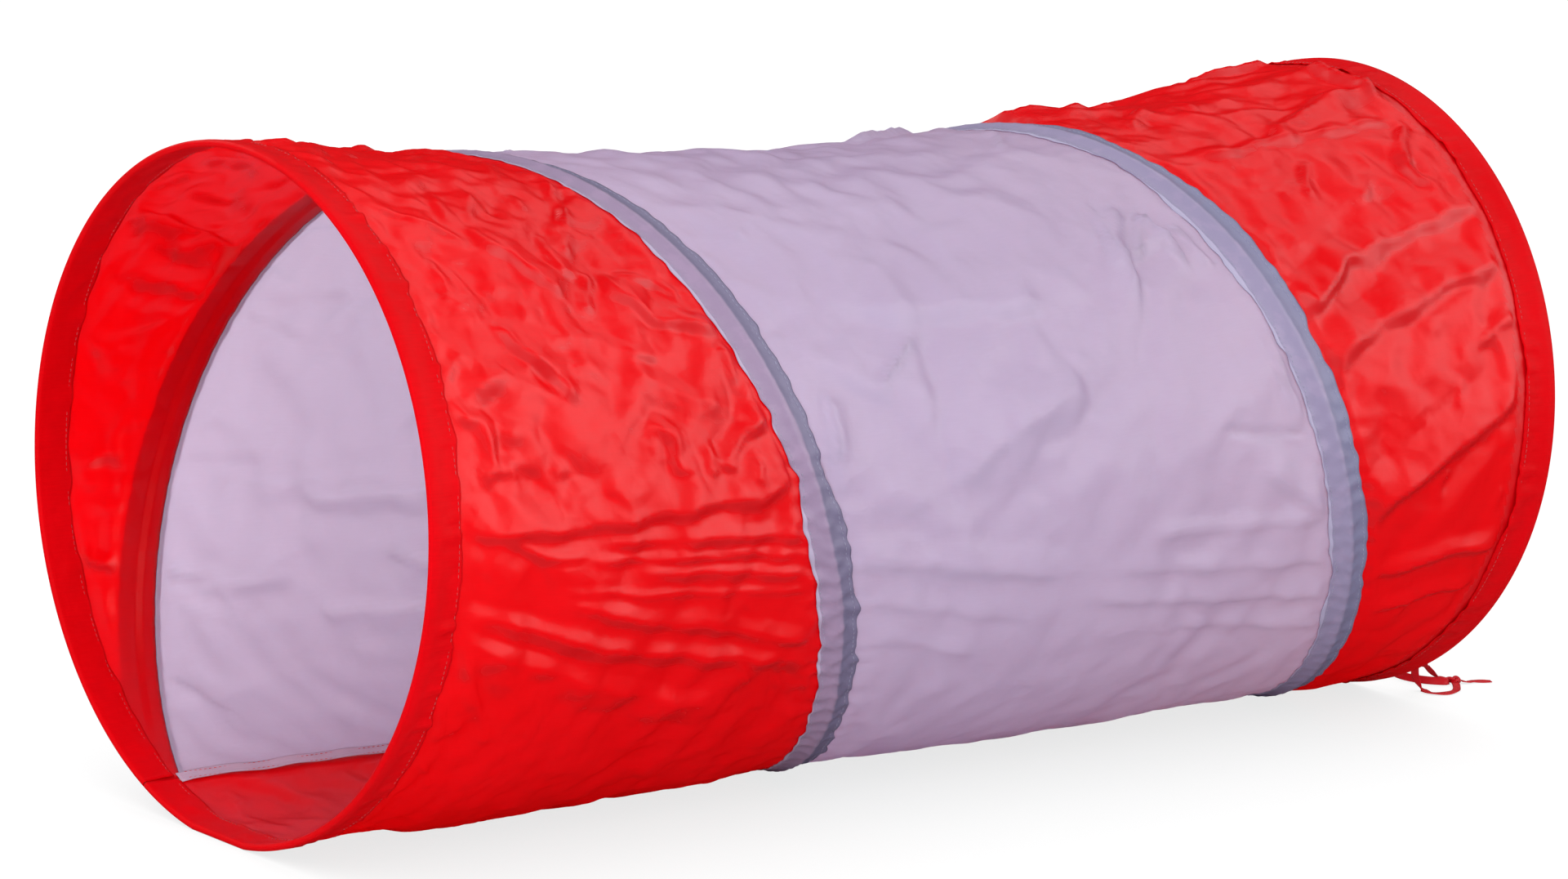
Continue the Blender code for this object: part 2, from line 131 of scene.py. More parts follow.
low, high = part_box("casing_tape_1")
print("the first tape starts at x =", round(low.x + LENGTH / 2, 4), "and ends at",
      round(high.x + LENGTH / 2, 4), "against",
      round(float(line(SEAM + TURN)) + TAPE_WIDTH / 2, 4))

# %% [markdown]
# ## The camera
# The photograph was taken from in front and a little above, with a long lens, and the
# camera leans slightly.  A camera is three directions and a place, so its matrix is written
# from its turn, its tilt and its lean.

# %% Place the camera
camera_data = bpy.data.cameras.new("camera")
camera_data.lens = 150
camera_data.sensor_width = 36
camera = bpy.data.objects.new("camera", camera_data)
bpy.context.scene.collection.objects.link(camera)
bpy.context.scene.camera = camera
YAW, PITCH, LEAN = (math.radians(a) for a in (38.89, 11.17, 2.32))
EYE = (-2.9156, -3.5789, 1.1410)
ahead = Vector((
    math.sin(YAW) * math.cos(PITCH), math.cos(YAW) * math.cos(PITCH), -math.sin(PITCH)
))
level = Vector((math.cos(YAW), -math.sin(YAW), 0))
above = level.cross(ahead)
right = level * math.cos(LEAN) + above * math.sin(LEAN)
up = above * math.cos(LEAN) - level * math.sin(LEAN)
turned = Matrix((right, up, -ahead)).transposed().to_4x4()
camera.matrix_world = Matrix.Translation(EYE) @ turned
print("the camera stands", round(camera.location.length, 2), "m away")

# %% [markdown]
# ## Finishes
# Every finish is a small tree of nodes.  Written node by node such a tree is hard to read,
# so two helpers turn it into arithmetic: a Socket can be added, taken away and multiplied
# like a number, and a Finish makes any node from its type, its settings and its inputs.


# %% Sockets that can be calculated with
class Socket:
    """An output of a node; arithmetic on it adds Math nodes."""

    def __init__(self, finish, socket):
        self.finish = finish
        self.socket = socket

    def __add__(self, other):
        return self.finish.math("ADD", self, other)

    def __sub__(self, other):
        return self.finish.math("SUBTRACT", self, other)

    def __rsub__(self, other):
        return self.finish.math("SUBTRACT", other, self)

    def __mul__(self, other):
        return self.finish.math("MULTIPLY", self, other)

    def __abs__(self):
        return self.finish.math("ABSOLUTE", self)

    __radd__ = __add__
    __rmul__ = __mul__


class Finish:
    """A material that is being built, with its one Principled shader."""

    def __init__(self, name, color, **constants):
        self.material = bpy.data.materials.new(name)
        self.material.use_nodes = True
        self.material.diffuse_color = (*color, 1)
        self.tree = self.material.node_tree
        self.shader = self.tree.nodes["Principled BSDF"]
        self.output = self.tree.nodes["Material Output"]
        self.shader.inputs["Base Color"].default_value = (*color, 1)
        for socket, value in constants.items():
            self.shader.inputs[socket.replace("_", " ")].default_value = value

    def node(self, kind, inputs=None, out=0, **settings):
        """Any node: its type, its settings, then the values or links of its inputs."""
        made = self.tree.nodes.new(kind)
        for name, value in settings.items():
            setattr(made, name, value)
        for name, value in (inputs or {}).items():
            self.feed(made.inputs[name], value)
        return Socket(self, made.outputs[out])

    def feed(self, socket, value):
        if isinstance(value, Socket):
            self.tree.links.new(value.socket, socket)
        else:
            socket.default_value = value

    def math(self, operation, *values):
        return self.node("ShaderNodeMath", dict(enumerate(values)), operation=operation)

    def mix(self, share, one, two):
        """A colour between two colours, each a link or three numbers."""
        one, two = (c if isinstance(c, Socket) else (*c, 1) for c in (one, two))
        return self.node("ShaderNodeMix", {0: share, 6: one, 7: two}, out=2, data_type="RGBA")

    def noise(self, vector, scale, detail=2.0):
        """Soft noise between 0 and 1."""
        inputs = {"Vector": vector, "Scale": scale, "Detail": detail}
        return self.node("ShaderNodeTexNoise", inputs)

    def pattern(self):
        """The piece's flat pattern as a vector, then its U and its V."""
        flat = self.node("ShaderNodeUVMap", uv_map="pattern")
        u = self.node("ShaderNodeSeparateXYZ", {0: flat})
        return flat, u, Socket(self, u.socket.node.outputs[1])

    def between(self, value, low, high):
        """0 below low, 1 above high, and smooth between them."""
        return self.node(
            "ShaderNodeMapRange",
            {"Value": value, "From Min": low, "From Max": high},
            interpolation_type="SMOOTHSTEP",
        )

    def give(self, name, value):
        """Feeds a socket of the shader."""
        self.feed(self.shader.inputs[name], value)

    def bump(self, height, strength):
        """Bends the shader's normal by a height in metres, and returns the bent normal."""
        inputs = {"Height": height, "Strength": strength, "Distance": 1.0}
        bent = self.node("ShaderNodeBump", inputs)
        self.give("Normal", bent)
        return bent


print("helpers ready for", bpy.app.version_string)

# %% [markdown]
# ## Taffeta
# Taffeta is a tight plain weave of very fine yarn.  From a step away the weave is only a
# faint grain, the surface has a soft silky shine, and light comes through it from behind.
# So the finish mixes a glossy Principled shader with a Translucent one, and its bump has
# three scales: the weave, which follows the flat pattern, the slubs of its yarn, and the
# crush marks of cloth that has been packed small.  Where a crease leans down, its colour is
# darkened as painted shade, and there it shines less and lets less light through; beside
# the rear hem, where the cloth really lies double, it is darkened the same way.  Each panel
# stores where that is in an attribute.


# %% The taffeta finish
def weave(finish, along, across, pitch):
    """A plain weave from two sets of yarns that swap between over and under."""
    one, two = (finish.math("SINE", way * (TURN / 2 / pitch)) for way in (along, across))
    return abs(one) + abs(two) + one * two * 0.6


YARN_PITCH = 0.00042
SLUB_SCALE = (60, 900, 1)  # slubs are long one way and thin the other
MARK_SCALES = (42.0, 115.0)
SHADE_AND_DOUBLE_TONE = 0.72              # colour of painted crease shade and of doubled cloth, against the plain cloth


def taffeta(name, color, shade, glow, through, crush=1.0, shade_and_double_strength=1.0, gloss=0.5, rough=0.20):
    """A thin silky cloth: shade is its darker tone, glow the colour of light through it."""
    finish = Finish(name, color, Roughness=rough, Specular_IOR_Level=gloss)
    pattern, along, across = finish.pattern()
    cloud = finish.noise(pattern, 9.0, 3.0)
    marks, finer = (
        finish.node("ShaderNodeTexVoronoi", {"Vector": pattern, "Scale": scale}, feature="F1")
        for scale in MARK_SCALES
    )
    slubs = finish.noise(finish.node("ShaderNodeMapping", {0: pattern, 3: SLUB_SCALE}), 1.0)
    # Painted shade in creases that lean down, and the real doubling beside the rear hem, darken
    # the base colour.
    shade_and_doubling = finish.node("ShaderNodeAttribute", out=2, attribute_name="shade_and_doubling") * shade_and_double_strength
    plain = finish.mix(finish.between(cloud * 0.55 + slubs * 0.45, 0.36, 0.66), shade, color)
    shade_and_double_colour = tuple(SHADE_AND_DOUBLE_TONE * value for value in color)
    finish.give("Base Color", finish.mix(shade_and_doubling, plain, shade_and_double_colour))
    finish.give("Roughness", rough - 0.05 + cloud * 0.10 + shade_and_doubling * 0.15)
    grain = weave(finish, along, across, YARN_PITCH) * 0.00003
    crushed_by = (marks * 0.0013 + finer * 0.00030) * crush
    bent = finish.bump(grain + crushed_by + slubs * 0.00004, 0.7)
    behind = finish.node("ShaderNodeBsdfTranslucent", {"Color": (*glow, 1), "Normal": bent})
    front = Socket(finish, finish.shader.outputs[0])
    share = through - shade_and_doubling * (0.3 * through)
    both = finish.node("ShaderNodeMixShader", {0: share, 1: front, 2: behind})
    finish.feed(finish.output.inputs["Surface"], both)
    return finish.material


red_cloth = taffeta(
    "red_taffeta", (0.88, 0.0008, 0.008), (0.80, 0.0004, 0.005), (0.93, 0.002, 0.010),
    through=0.58)
lavender_cloth = taffeta(
    "lavender_taffeta", (0.66, 0.60, 0.78), (0.61, 0.55, 0.73), (0.79, 0.74, 0.84),
    through=0.66, crush=0.7, shade_and_double_strength=0.25)
hem_cloth = taffeta(
    "hem_taffeta", (0.82, 0.0006, 0.006), (0.72, 0.0004, 0.004), (0.88, 0.001, 0.008),
    through=0.40, gloss=0.04, rough=0.42)
binding_cloth = taffeta(
    "binding_taffeta", (0.50, 0.40, 0.53), (0.44, 0.35, 0.47), (0.6, 0.5, 0.6), through=0.15)
print("cloth finishes:", ", ".join(m.name for m in (red_cloth, lavender_cloth, hem_cloth)))

# %% [markdown]
# ## The casing tape's finish
# The tape is folded lengthwise: a lilac half lies over a slate blue one, so it shows two
# tones with a soft border, and a pale selvedge on the red side.  Its own UV map has the
# place across the tape in U, so the tones follow it round every bend.  The turn that is
# farther from the camera shows more slate than the nearer one, so the tape has two finishes.


# %% The tape's finish
TAPE_YARN = 0.0005
TAPE_RIB = 0.0011
MAUVE = (0.62, 0.40, 0.60)             # faint spots on the lilac half
SELVEDGE = TAPE_WIDTH / 2 - 0.0022, TAPE_WIDTH / 2 - 0.0012


def two_tone(name, pale, slate, edge):
    """A folded tape, pale on one half and slate on the other, with a paler edge."""
    finish = Finish(name, slate, Roughness=0.42, Specular_IOR_Level=0.3)
    pattern, across, along = finish.pattern()
    wander = finish.noise(pattern, 14.0, 3.0)
    mottle = finish.noise(pattern, 60.0, 4.0)
    side = finish.between(across + (wander - 0.5) * 0.010, 0.0005, 0.0040)
    tone = finish.mix(side, pale, slate)
    lilac = tuple(0.9 * a + 0.1 * b for a, b in zip(pale, MAUVE))
    tone = finish.mix(finish.between(mottle, 0.50, 0.62) * (1 - side) * 0.6, tone, lilac)
    rim = finish.between(across * -1, *SELVEDGE)
    finish.give("Base Color", finish.mix(rim * 0.8, tone, edge))
    finish.give("Roughness", 0.34 + wander * 0.14)
    ribs = abs(finish.math("SINE", along * (TURN / 2 / TAPE_RIB)))
    grain = weave(finish, across, along, TAPE_YARN) * 0.00004
    finish.bump(grain + ribs * 0.00003 + mottle * 0.0006, 0.6)
    return finish.material


near_tape = two_tone(
    "casing_tape_lilac", (0.25, 0.180, 0.285), (0.145, 0.125, 0.215), (0.38, 0.33, 0.46))
far_tape = two_tone(
    "casing_tape_slate", (0.235, 0.200, 0.320), (0.165, 0.160, 0.270), (0.36, 0.33, 0.47))
print("tape finishes:", near_tape.name, "and", far_tape.name)

# %% [markdown]
# ## Thread, ribbon and steel
# The small pieces get the simplest finishes that still hold up close by: twisted thread, a
# ribbon with a herringbone weave, and drawn wire with a few stains.  The hoops' solids show
# nothing but that steel, so they keep their own shape and only change their finish.


# %% Thread, ribbon and steel
def thread(name, color):
    finish = Finish(name, color, Roughness=0.55, Sheen_Weight=0.3)
    place_in = finish.node("ShaderNodeTexCoord", out=3)
    twist = finish.node(
        "ShaderNodeTexWave",
        {"Vector": place_in, "Scale": 900.0, "Distortion": 1.0},
        bands_direction="DIAGONAL",
    )
    finish.bump(twist * 0.0001, 0.6)
    finish.give("Roughness", 0.45 + twist * 0.15)
    return finish.material


def woven_ribbon(name, color, shade):
    finish = Finish(name, color, Roughness=0.5, Specular_IOR_Level=0.2)
    _, across, along = finish.pattern()
    herring = finish.math("SINE", (abs(across) + along) * (TURN / 0.0011))
    finish.give("Base Color", finish.mix(finish.between(herring, -0.8, 0.8), shade, color))
    finish.give("Roughness", 0.46 + herring * 0.05)
    finish.bump(herring * 0.00006, 0.8)
    return finish.material


def spring_steel(name):
    finish = Finish(name, (0.42, 0.42, 0.43), Metallic=1.0, Roughness=0.34)
    stain = finish.noise(finish.node("ShaderNodeTexCoord", out=3), 60.0, 5.0)
    stained = finish.mix(finish.between(stain, 0.5, 0.7), (0.44, 0.44, 0.45), (0.30, 0.27, 0.25))
    finish.give("Base Color", stained)
    finish.give("Roughness", 0.26 + stain * 0.22)
    finish.bump(stain * 0.0001, 0.4)
    return finish.material


red_thread = thread("red_thread", (0.52, 0.008, 0.014))
slate_thread = thread("slate_thread", (0.24, 0.24, 0.34))
ribbon_finish = woven_ribbon("tie_ribbon", (0.64, 0.002, 0.012), (0.50, 0.001, 0.009))
steel = spring_steel("spring_steel")
for name in ("front_hoop", "rear_hoop", "front_sleeve", "rear_sleeve"):
    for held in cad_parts[name].material_slots:
        held.material = steel
print("small finishes ready")

# %% [markdown]
# ## Putting a piece on the tunnel
# A finished piece needs its finish, its body and the solid that it stands for.
# The cloth between the hoops cannot fold like the real thing; a piece that would fold
# only gets a mesh of its own.  Most pieces start as a grid that is their flat pattern,
# which could be drawn on the tube at once, but then nothing would say how the cloth runs.
# So each vertex keeps its place in the pattern as a UV, and is moved onto the tube later.


def piece(name, mesh, finish):
    """A new object at the origin, with its place in its mesh."""
    mesh.name = name
    mesh.materials.clear()
    mesh.materials.append(finish)
    mesh.shade_smooth()
    made = bpy.data.objects.new(name, mesh)
    bpy.context.scene.collection.objects.link(made)
    return made


def fit(made, body, slot, *nodes, folds=False):
    """Rides on its body, stands for its nodes and, if it folds, gets a mesh of its own."""
    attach(made, body)
    if nodes:
        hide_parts(*nodes)
    if folds:
        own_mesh(made)
    return made


def points_of(mesh):
    found = np.empty(len(mesh.vertices) * 3)
    mesh.vertices.foreach_get("co", found)
    return found.reshape(-1, 3)


def move_to(mesh, points):
    mesh.vertices.foreach_set("co", points.astype(np.float32).ravel())
    mesh.update()


def corners_of(mesh):
    """The vertex that each face corner belongs to."""
    corners = np.empty(len(mesh.loops), np.int32)
    mesh.loops.foreach_get("vertex_index", corners)
    return corners


def flat_of(mesh):
    """Each vertex's place in the flat pattern, read back from the UV map."""
    uv = np.empty(len(mesh.loops) * 2)
    mesh.uv_layers["pattern"].uv.foreach_get("vector", uv)
    found = np.zeros((len(mesh.vertices), 2))
    found[corners_of(mesh)] = uv.reshape(-1, 2)
    return found


def place_of(mesh):
    """The same, as x along the tube and turn round it."""
    x, s = flat_of(mesh).T
    return x, s / RADIUS


# %% Grids, cuts and walls
def mesh_from(name, bm):
    mesh = bpy.data.meshes.new(name)
    bm.to_mesh(mesh)
    bm.free()
    return mesh


def cut(bm, x, keep_above):
    """Cuts a flat piece square to the tube at x."""
    bmesh.ops.bisect_plane(
        bm,
        geom=[*bm.verts, *bm.edges, *bm.faces],
        dist=2e-4,
        plane_co=(x, 0, 0),
        plane_no=(1, 0, 0),
        clear_inner=keep_above,
        clear_outer=not keep_above,
    )


def patterned_grid(name, columns, rows, lay, cuts=()):
    """A grid; lay turns a vertex's shares, across and along, into its UV and its place."""
    bm = bmesh.new()
    bmesh.ops.create_grid(bm, x_segments=columns, y_segments=rows, size=0.5)
    pattern = bm.loops.layers.uv.new("pattern")
    for vert in bm.verts:
        uv, spot = lay(vert.co.x, vert.co.y + 0.5)
        for corner in vert.link_loops:
            corner[pattern].uv = uv
        vert.co = spot
    for x, keep_above in cuts:
        cut(bm, x, keep_above)
    return mesh_from(name, bm)


def applied(made):
    """The mesh of an object as its modifiers leave it; the object is removed."""
    graph = bpy.context.evaluated_depsgraph_get()
    mesh = bpy.data.meshes.new_from_object(made.evaluated_get(graph))
    old = made.data
    bpy.data.objects.remove(made)
    bpy.data.meshes.remove(old)
    return mesh


def thicken(made, thickness):
    """Gives a sheet its two faces and closed edges."""
    wall = made.modifiers.new("thickness", "SOLIDIFY")
    wall.thickness = thickness
    wall.offset = 0.0


# %% [markdown]
# ## The ties
# Two narrow ribbons are sewn inside the rear hem, to keep the tunnel shut when it is folded
# away.  Here they lie on the floor under the rear rim, knotted together once.  They come
# first, because a loose cord decides how much floor the model needs.  Their routes are the
# ones that their solids have.

# %% Routes of the ties
RIBBON_WIDTH = 0.006
RIBBON_THICK = 0.0010
TAB_LENGTH = 0.014
KNOT_SIZE = (0.0115, 0.0095, 0.0056)
KNOT_TURN = math.radians(-20)
KNOT_RISE = 0.0012
KNOT_AT = Vector((LENGTH / 2 + 0.068, -0.083, KNOT_SIZE[2] / 2 + GAP))
LIES = RIBBON_THICK / 2 + GAP


def facet_spot(facet, depth):
    """A corner of the tube's facets, so deep inside the cloth."""
    return Vector(place(np.float64(0.0), facet * FLAT, -depth))


def into_knot(angle):
    """The last two points of a ribbon that runs straight into the knot's side."""
    turned = math.radians(angle)
    own = turned - KNOT_TURN
    side = 2 * math.hypot(math.cos(own) / KNOT_SIZE[0], math.sin(own) / KNOT_SIZE[1])
    reach = 1 / side + GAP
    away = Vector((math.cos(turned), math.sin(turned), 0))
    found = [KNOT_AT + away * (reach + RIBBON_WIDTH), KNOT_AT + away * reach]
    for point, rise in zip(found, (0, KNOT_RISE)):
        point.z = LIES + rise
    return found


def in_air(x, y, z):
    """A point so far beyond the rear rim."""
    return Vector((LENGTH / 2 + x, y, z))


def on_floor(x, y):
    return in_air(x, y, LIES)


def smooth_route(points, spacing):
    """Points about as far apart as spacing, on a smooth curve through the route."""
    padded = [points[0] * 2 - points[1], *points, points[-1] * 2 - points[-2]]
    route = [points[0]]
    for a, b, c, d in zip(padded, padded[1:], padded[2:], padded[3:]):
        steps = max(1, round((c - b).length / spacing))
        for i in range(1, steps + 1):
            t = i / steps
            route.append(
                0.5 * (2 * b + (c - a) * t + (2 * a - 5 * b + 4 * c - d) * t**2
                       + (3 * b - a - 3 * c + d) * t**3)
            )
    for point in route:
        point.z = max(point.z, LIES)
    return route


tab_thick = 2 * RIBBON_THICK + GAP
tab_depth = WING + LAYER + GAP + tab_thick / 2
tab_low, tab_high = facet_spot(-4, tab_depth), facet_spot(-3, tab_depth)
ACROSS = (tab_high - tab_low).normalized()
TAB_MIDDLE = (tab_low + tab_high) / 2
TAB_MIDDLE.x = LENGTH / 2 + 0.001 - TAB_LENGTH / 2
BESIDE_TAB = RIBBON_WIDTH / 2 + 0.0008   # two ribbons lie side by side on the tab
tab_end = TAB_MIDDLE + Vector((TAB_LENGTH / 2 + GAP, 0, 0))
tab_step = ACROSS * BESIDE_TAB
out = Vector((1, 0, 0))
routes = {
    "tie_strand_long": [
        tab_end + tab_step, tab_end + tab_step + out * 0.006, in_air(0.020, -0.089, 0.012),
        on_floor(0.028, -0.089), on_floor(0.027, -0.099), on_floor(0.036, -0.106),
        on_floor(0.050, -0.103), *into_knot(235),
    ],
    "tie_strand_short": [
        tab_end - tab_step, tab_end - tab_step + out * 0.007, in_air(0.030, -0.088, 0.019),
        in_air(0.050, -0.070, 0.013), on_floor(0.068, -0.064), *into_knot(80),
    ],
    "tie_tail_long": [
        *into_knot(178)[::-1], on_floor(0.044, -0.068), on_floor(0.042, -0.046),
        on_floor(0.058, -0.016),
    ],
    "tie_tail_short": [
        *into_knot(-20)[::-1], on_floor(0.084, -0.087), on_floor(0.097, -0.094),
    ],
}
ON_EDGE = RIBBON_WIDTH / 2 + GAP
for point in routes["tie_tail_long"]:
    point.z = ON_EDGE
print(len(routes), "ribbons, from", [round(v, 3) for v in tab_end])


# %% Make the ribbons
ROUTE_STEP = 0.0022
SHEER = 0.7               # the ribbon looks thinner than its solid


def strip_along(route, width, twist, curl, lean, cells=6):
    """A strip along a route: curl cups it, twist rocks it and lean turns it on its edge."""
    rows = len(route) - 1
    run = [0.0]
    for one, two in zip(route, route[1:]):
        run.append(run[-1] + (two - one).length)

    def lay(share, along):
        row = round(along * rows)
        ahead = (route[min(rows, row + 1)] - route[max(0, row - 1)]).normalized()
        side = ahead.cross((0, 0, 1)).normalized()
        rocked = side @ Matrix.Rotation(lean + twist * math.sin(run[row] * 260), 3, ahead)
        lift = curl * (4 * share * share)
        spot = route[row] + rocked * (share * width) + rocked.cross(ahead) * lift
        return (share * width, run[row]), spot

    return patterned_grid("strip", cells, rows, lay), run[-1]


ties, tie_lengths = {}, {}
for name, points in routes.items():
    routes[name] = smooth_route(points, ROUTE_STEP)
    lean = math.radians(80) if name == "tie_tail_long" else 0.0
    mesh, tie_lengths[name] = strip_along(
        routes[name], RIBBON_WIDTH, twist=0.10, curl=0.0002, lean=lean)
    ties[name] = fit(piece(f"{name}_ribbon", mesh, ribbon_finish), "rear_end", "ribbon", name)
    thicken(ties[name], RIBBON_THICK * SHEER)
print({name: round(length, 4) for name, length in tie_lengths.items()})

# %% [markdown]
# ## The knot and the tab
# The knot is an overhand knot pulled tight.  Its simplest true shape is a trefoil, the
# curve of a knotted loop, swept with a small round section and pressed flat.  The tab is
# the ribbon folded double and sewn inside the hem.

# %% Sweep a cord
def swept(name, points, thickness, closed=False, resolution=2):
    """A round cord through points, as a mesh."""
    data = bpy.data.curves.new(name, "CURVE")
    data.dimensions = "3D"
    spline = data.splines.new("POLY")
    spline.points.add(len(points) - 1)
    for knot, point in zip(spline.points, points):
        knot.co = (*point, 1.0)
    spline.use_cyclic_u = closed
    spline.use_smooth = True
    data.bevel_depth = thickness / 2
    data.bevel_resolution = resolution
    data.use_fill_caps = not closed
    holder = bpy.data.objects.new(name, data)
    bpy.context.scene.collection.objects.link(holder)
    mesh = bpy.data.meshes.new_from_object(
        holder.evaluated_get(bpy.context.evaluated_depsgraph_get())
    )
    bpy.data.objects.remove(holder)
    bpy.data.curves.remove(data)
    return mesh


# %% Tie the knot
CORD = 0.0026
KNOT_STEPS = 72
KNOT_SPAN = (2.6, 2.9, 1.0)            # the trefoil's own half sizes
loops = []
for step in range(KNOT_STEPS):
    t = TURN * step / KNOT_STEPS
    trefoil = (math.sin(t) + 2 * math.sin(2 * t), math.cos(t) - 2 * math.cos(2 * t),
               -math.sin(3 * t))
    loops.append(Vector([
        value / span * (size - CORD) / 2
        for value, span, size in zip(trefoil, KNOT_SPAN, KNOT_SIZE)
    ]))
knot_mesh = swept("tie_knot", loops, CORD, closed=True)
knot_mesh.transform(Matrix.Translation(KNOT_AT) @ Matrix.Rotation(KNOT_TURN, 4, "Z"))
knot_uv = knot_mesh.uv_layers.new(name="pattern")
for corner, loop in zip(knot_uv.uv, knot_mesh.loops):
    at = knot_mesh.vertices[loop.vertex_index].co
    corner.vector = (at.x + at.y, at.z + at.x - at.y)
knot = fit(piece("tie_knot_cord", knot_mesh, ribbon_finish), "rear_end", "ribbon", "tie_knot")
print("knot", [round(v * 1000, 1) for v in knot.dimensions], "mm")

# %% Fold the tab
TAB_ROWS = 24
TAB_ROW = 0.0012                       # length of a row
FOLD_FROM, FOLD_TO = 0.42, 0.58        # shares of the tab's ribbon that are its bend
FOLD_AT = 0.43                         # where the bend lies, as a share of the tab's length
HALF_FOLD = 0.00062                    # half the height of the bend
FOLD_REACH = 0.0006


def folded(share):
    """Place along and height of the tab's folded ribbon at a share of its length."""
    leg = 0.5 + FOLD_AT
    if share < FOLD_FROM:
        return TAB_LENGTH * (0.5 - share / FOLD_FROM * leg), -HALF_FOLD
    if share > FOLD_TO:
        return TAB_LENGTH * (-FOLD_AT + (share - FOLD_TO) / FOLD_FROM * leg), HALF_FOLD
    turned = (share - FOLD_FROM) / (FOLD_TO - FOLD_FROM) * math.pi
    along = -TAB_LENGTH * FOLD_AT - FOLD_REACH * math.sin(turned)
    return along, -HALF_FOLD * math.cos(turned)


tab_frame = Matrix((out, ACROSS, out.cross(ACROSS))).transposed().to_4x4()
tab_bm = bmesh.new()
for side in (-1, 1):
    bmesh.ops.create_grid(tab_bm, x_segments=4, y_segments=TAB_ROWS, size=0.5,
                          matrix=Matrix.Translation((side * 2, 0, 0)))
tab_uv = tab_bm.loops.layers.uv.new("pattern")
for vert in tab_bm.verts:
    side = 1 if vert.co.x > 0 else -1
    share, row = vert.co.x - side * 2, round((vert.co.y + 0.5) * TAB_ROWS)
    for corner in vert.link_loops:
        corner[tab_uv].uv = (share * RIBBON_WIDTH, row * TAB_ROW)
    across = side * BESIDE_TAB + share * RIBBON_WIDTH
    along, height = folded(row / TAB_ROWS)
    vert.co = TAB_MIDDLE + (tab_frame @ Vector((along, across, height)))
tab = piece("tie_tab_ribbon", mesh_from("tab", tab_bm), ribbon_finish)
thicken(tab, RIBBON_THICK * SHEER)
fit(tab, "rear_end", "ribbon", "tie_tab")
print("tab", [round(v * 1000, 1) for v in tab.dimensions], "mm")

# %% [markdown]
# ## How cloth creases
# Cloth that was packed small keeps flat facets with sharp creases between them.  A
# triangle wave has just that profile, so a few of them, in different directions, bent by
# smooth noise and let fade in and out, give crushed cloth.  Bigger creases have a place of
# their own: each is a rounded tent along a line in the flat pattern, steep on one side.


# %% Facets
def bell(value, middle, spread):
    """1 at the middle, and falling off softly on both sides."""
    return np.exp(-(((value - middle) / spread) ** 2))


def eased(share):
    return share * share * (3 - 2 * share)


def drift(x, s, scale, seed):
    """Smooth noise, mostly between -1 and 1, from a few sine waves."""
    random = np.random.default_rng(seed)
    total = np.zeros(np.shape(x))
    for _ in range(7):
        angle = random.uniform(0, TURN)
        wave = scale * random.uniform(0.6, 1.7)
        run = x * math.cos(angle) + s * math.sin(angle)
        total = total + np.sin(run * TURN / wave + random.uniform(0, TURN))
    return total / 2.4


def crushed(x, s, size, seed):
    """Facets about as large as size, with sharp creases between them."""
    random = np.random.default_rng(seed)
    total = np.zeros(np.shape(x))
    for number in range(6):
        angle = random.uniform(0, math.pi)
        wave = size * random.uniform(0.7, 1.6)
        bent = size * 0.20 * drift(x, s, size * 1.7, seed + 31 * number + 7)
        run = x * math.cos(angle) + s * math.sin(angle) + bent
        saw = np.abs((run / wave + random.uniform(0, 1)) % 1 - 0.5) * 4 - 1
        patch = np.clip(0.35 + 0.9 * drift(x, s, size * 2.3, seed + 57 * number + 3), 0, 1)
        total = total + saw * patch
    return total / 2.4


# %% One crease
STANDS = 2.1              # how much higher a crease is made than it was read
SHARP = 1.05              # 1 is a straight flank
FADES = 0.22              # share of a crease in which each end sinks


def fold(x, s, route, above, below, height):
    """A tent along a route, in mm and degrees; below is the flank on its right hand."""
    spots = [(at / 1000, math.radians(turned) * RADIUS) for at, turned in route]
    nearest = np.full(np.shape(x), 9.0)
    signed, run = np.zeros(np.shape(x)), np.zeros(np.shape(x))
    done = 0.0
    for (x0, s0), (x1, s1) in zip(spots, spots[1:]):
        length = math.dist((x0, s0), (x1, s1))
        dx, ds = (x1 - x0) / length, (s1 - s0) / length
        along = np.clip((x - x0) * dx + (s - s0) * ds, 0, length)
        away = np.hypot(x - x0 - along * dx, s - s0 - along * ds)
        side = np.sign((s - s0) * dx - (x - x0) * ds)
        closer = away < nearest
        nearest = np.where(closer, away, nearest)
        signed = np.where(closer, side, signed)
        run = np.where(closer, done + along, run)
        done += length
    wide = np.where(signed > 0, below, above) / 1000
    tent = np.clip(1 - nearest / wide, 0, 1) ** SHARP
    ends = np.clip(np.minimum(run, done - run) / (FADES * done) + 0.35, 0, 1)
    return STANDS * height / 1000 * tent * eased(ends)


ridge = fold(np.zeros(1), np.zeros(1), [(-20, 0), (20, 0)], 8, 8, 1.0)
print("a crease that was read as 1 mm stands", round(float(ridge[0]) * 1000, 1), "mm high")

# %% [markdown]
# ## Where the big creases are
# Each line gives a crease: its route along and round the tunnel, how wide its upper and
# lower flanks are and how high it stands.  The near side has the drag folds that the tape
# pulls into the cloth; the far side has loose ones, drawn at random with a fixed seed,
# because nothing says where they are.

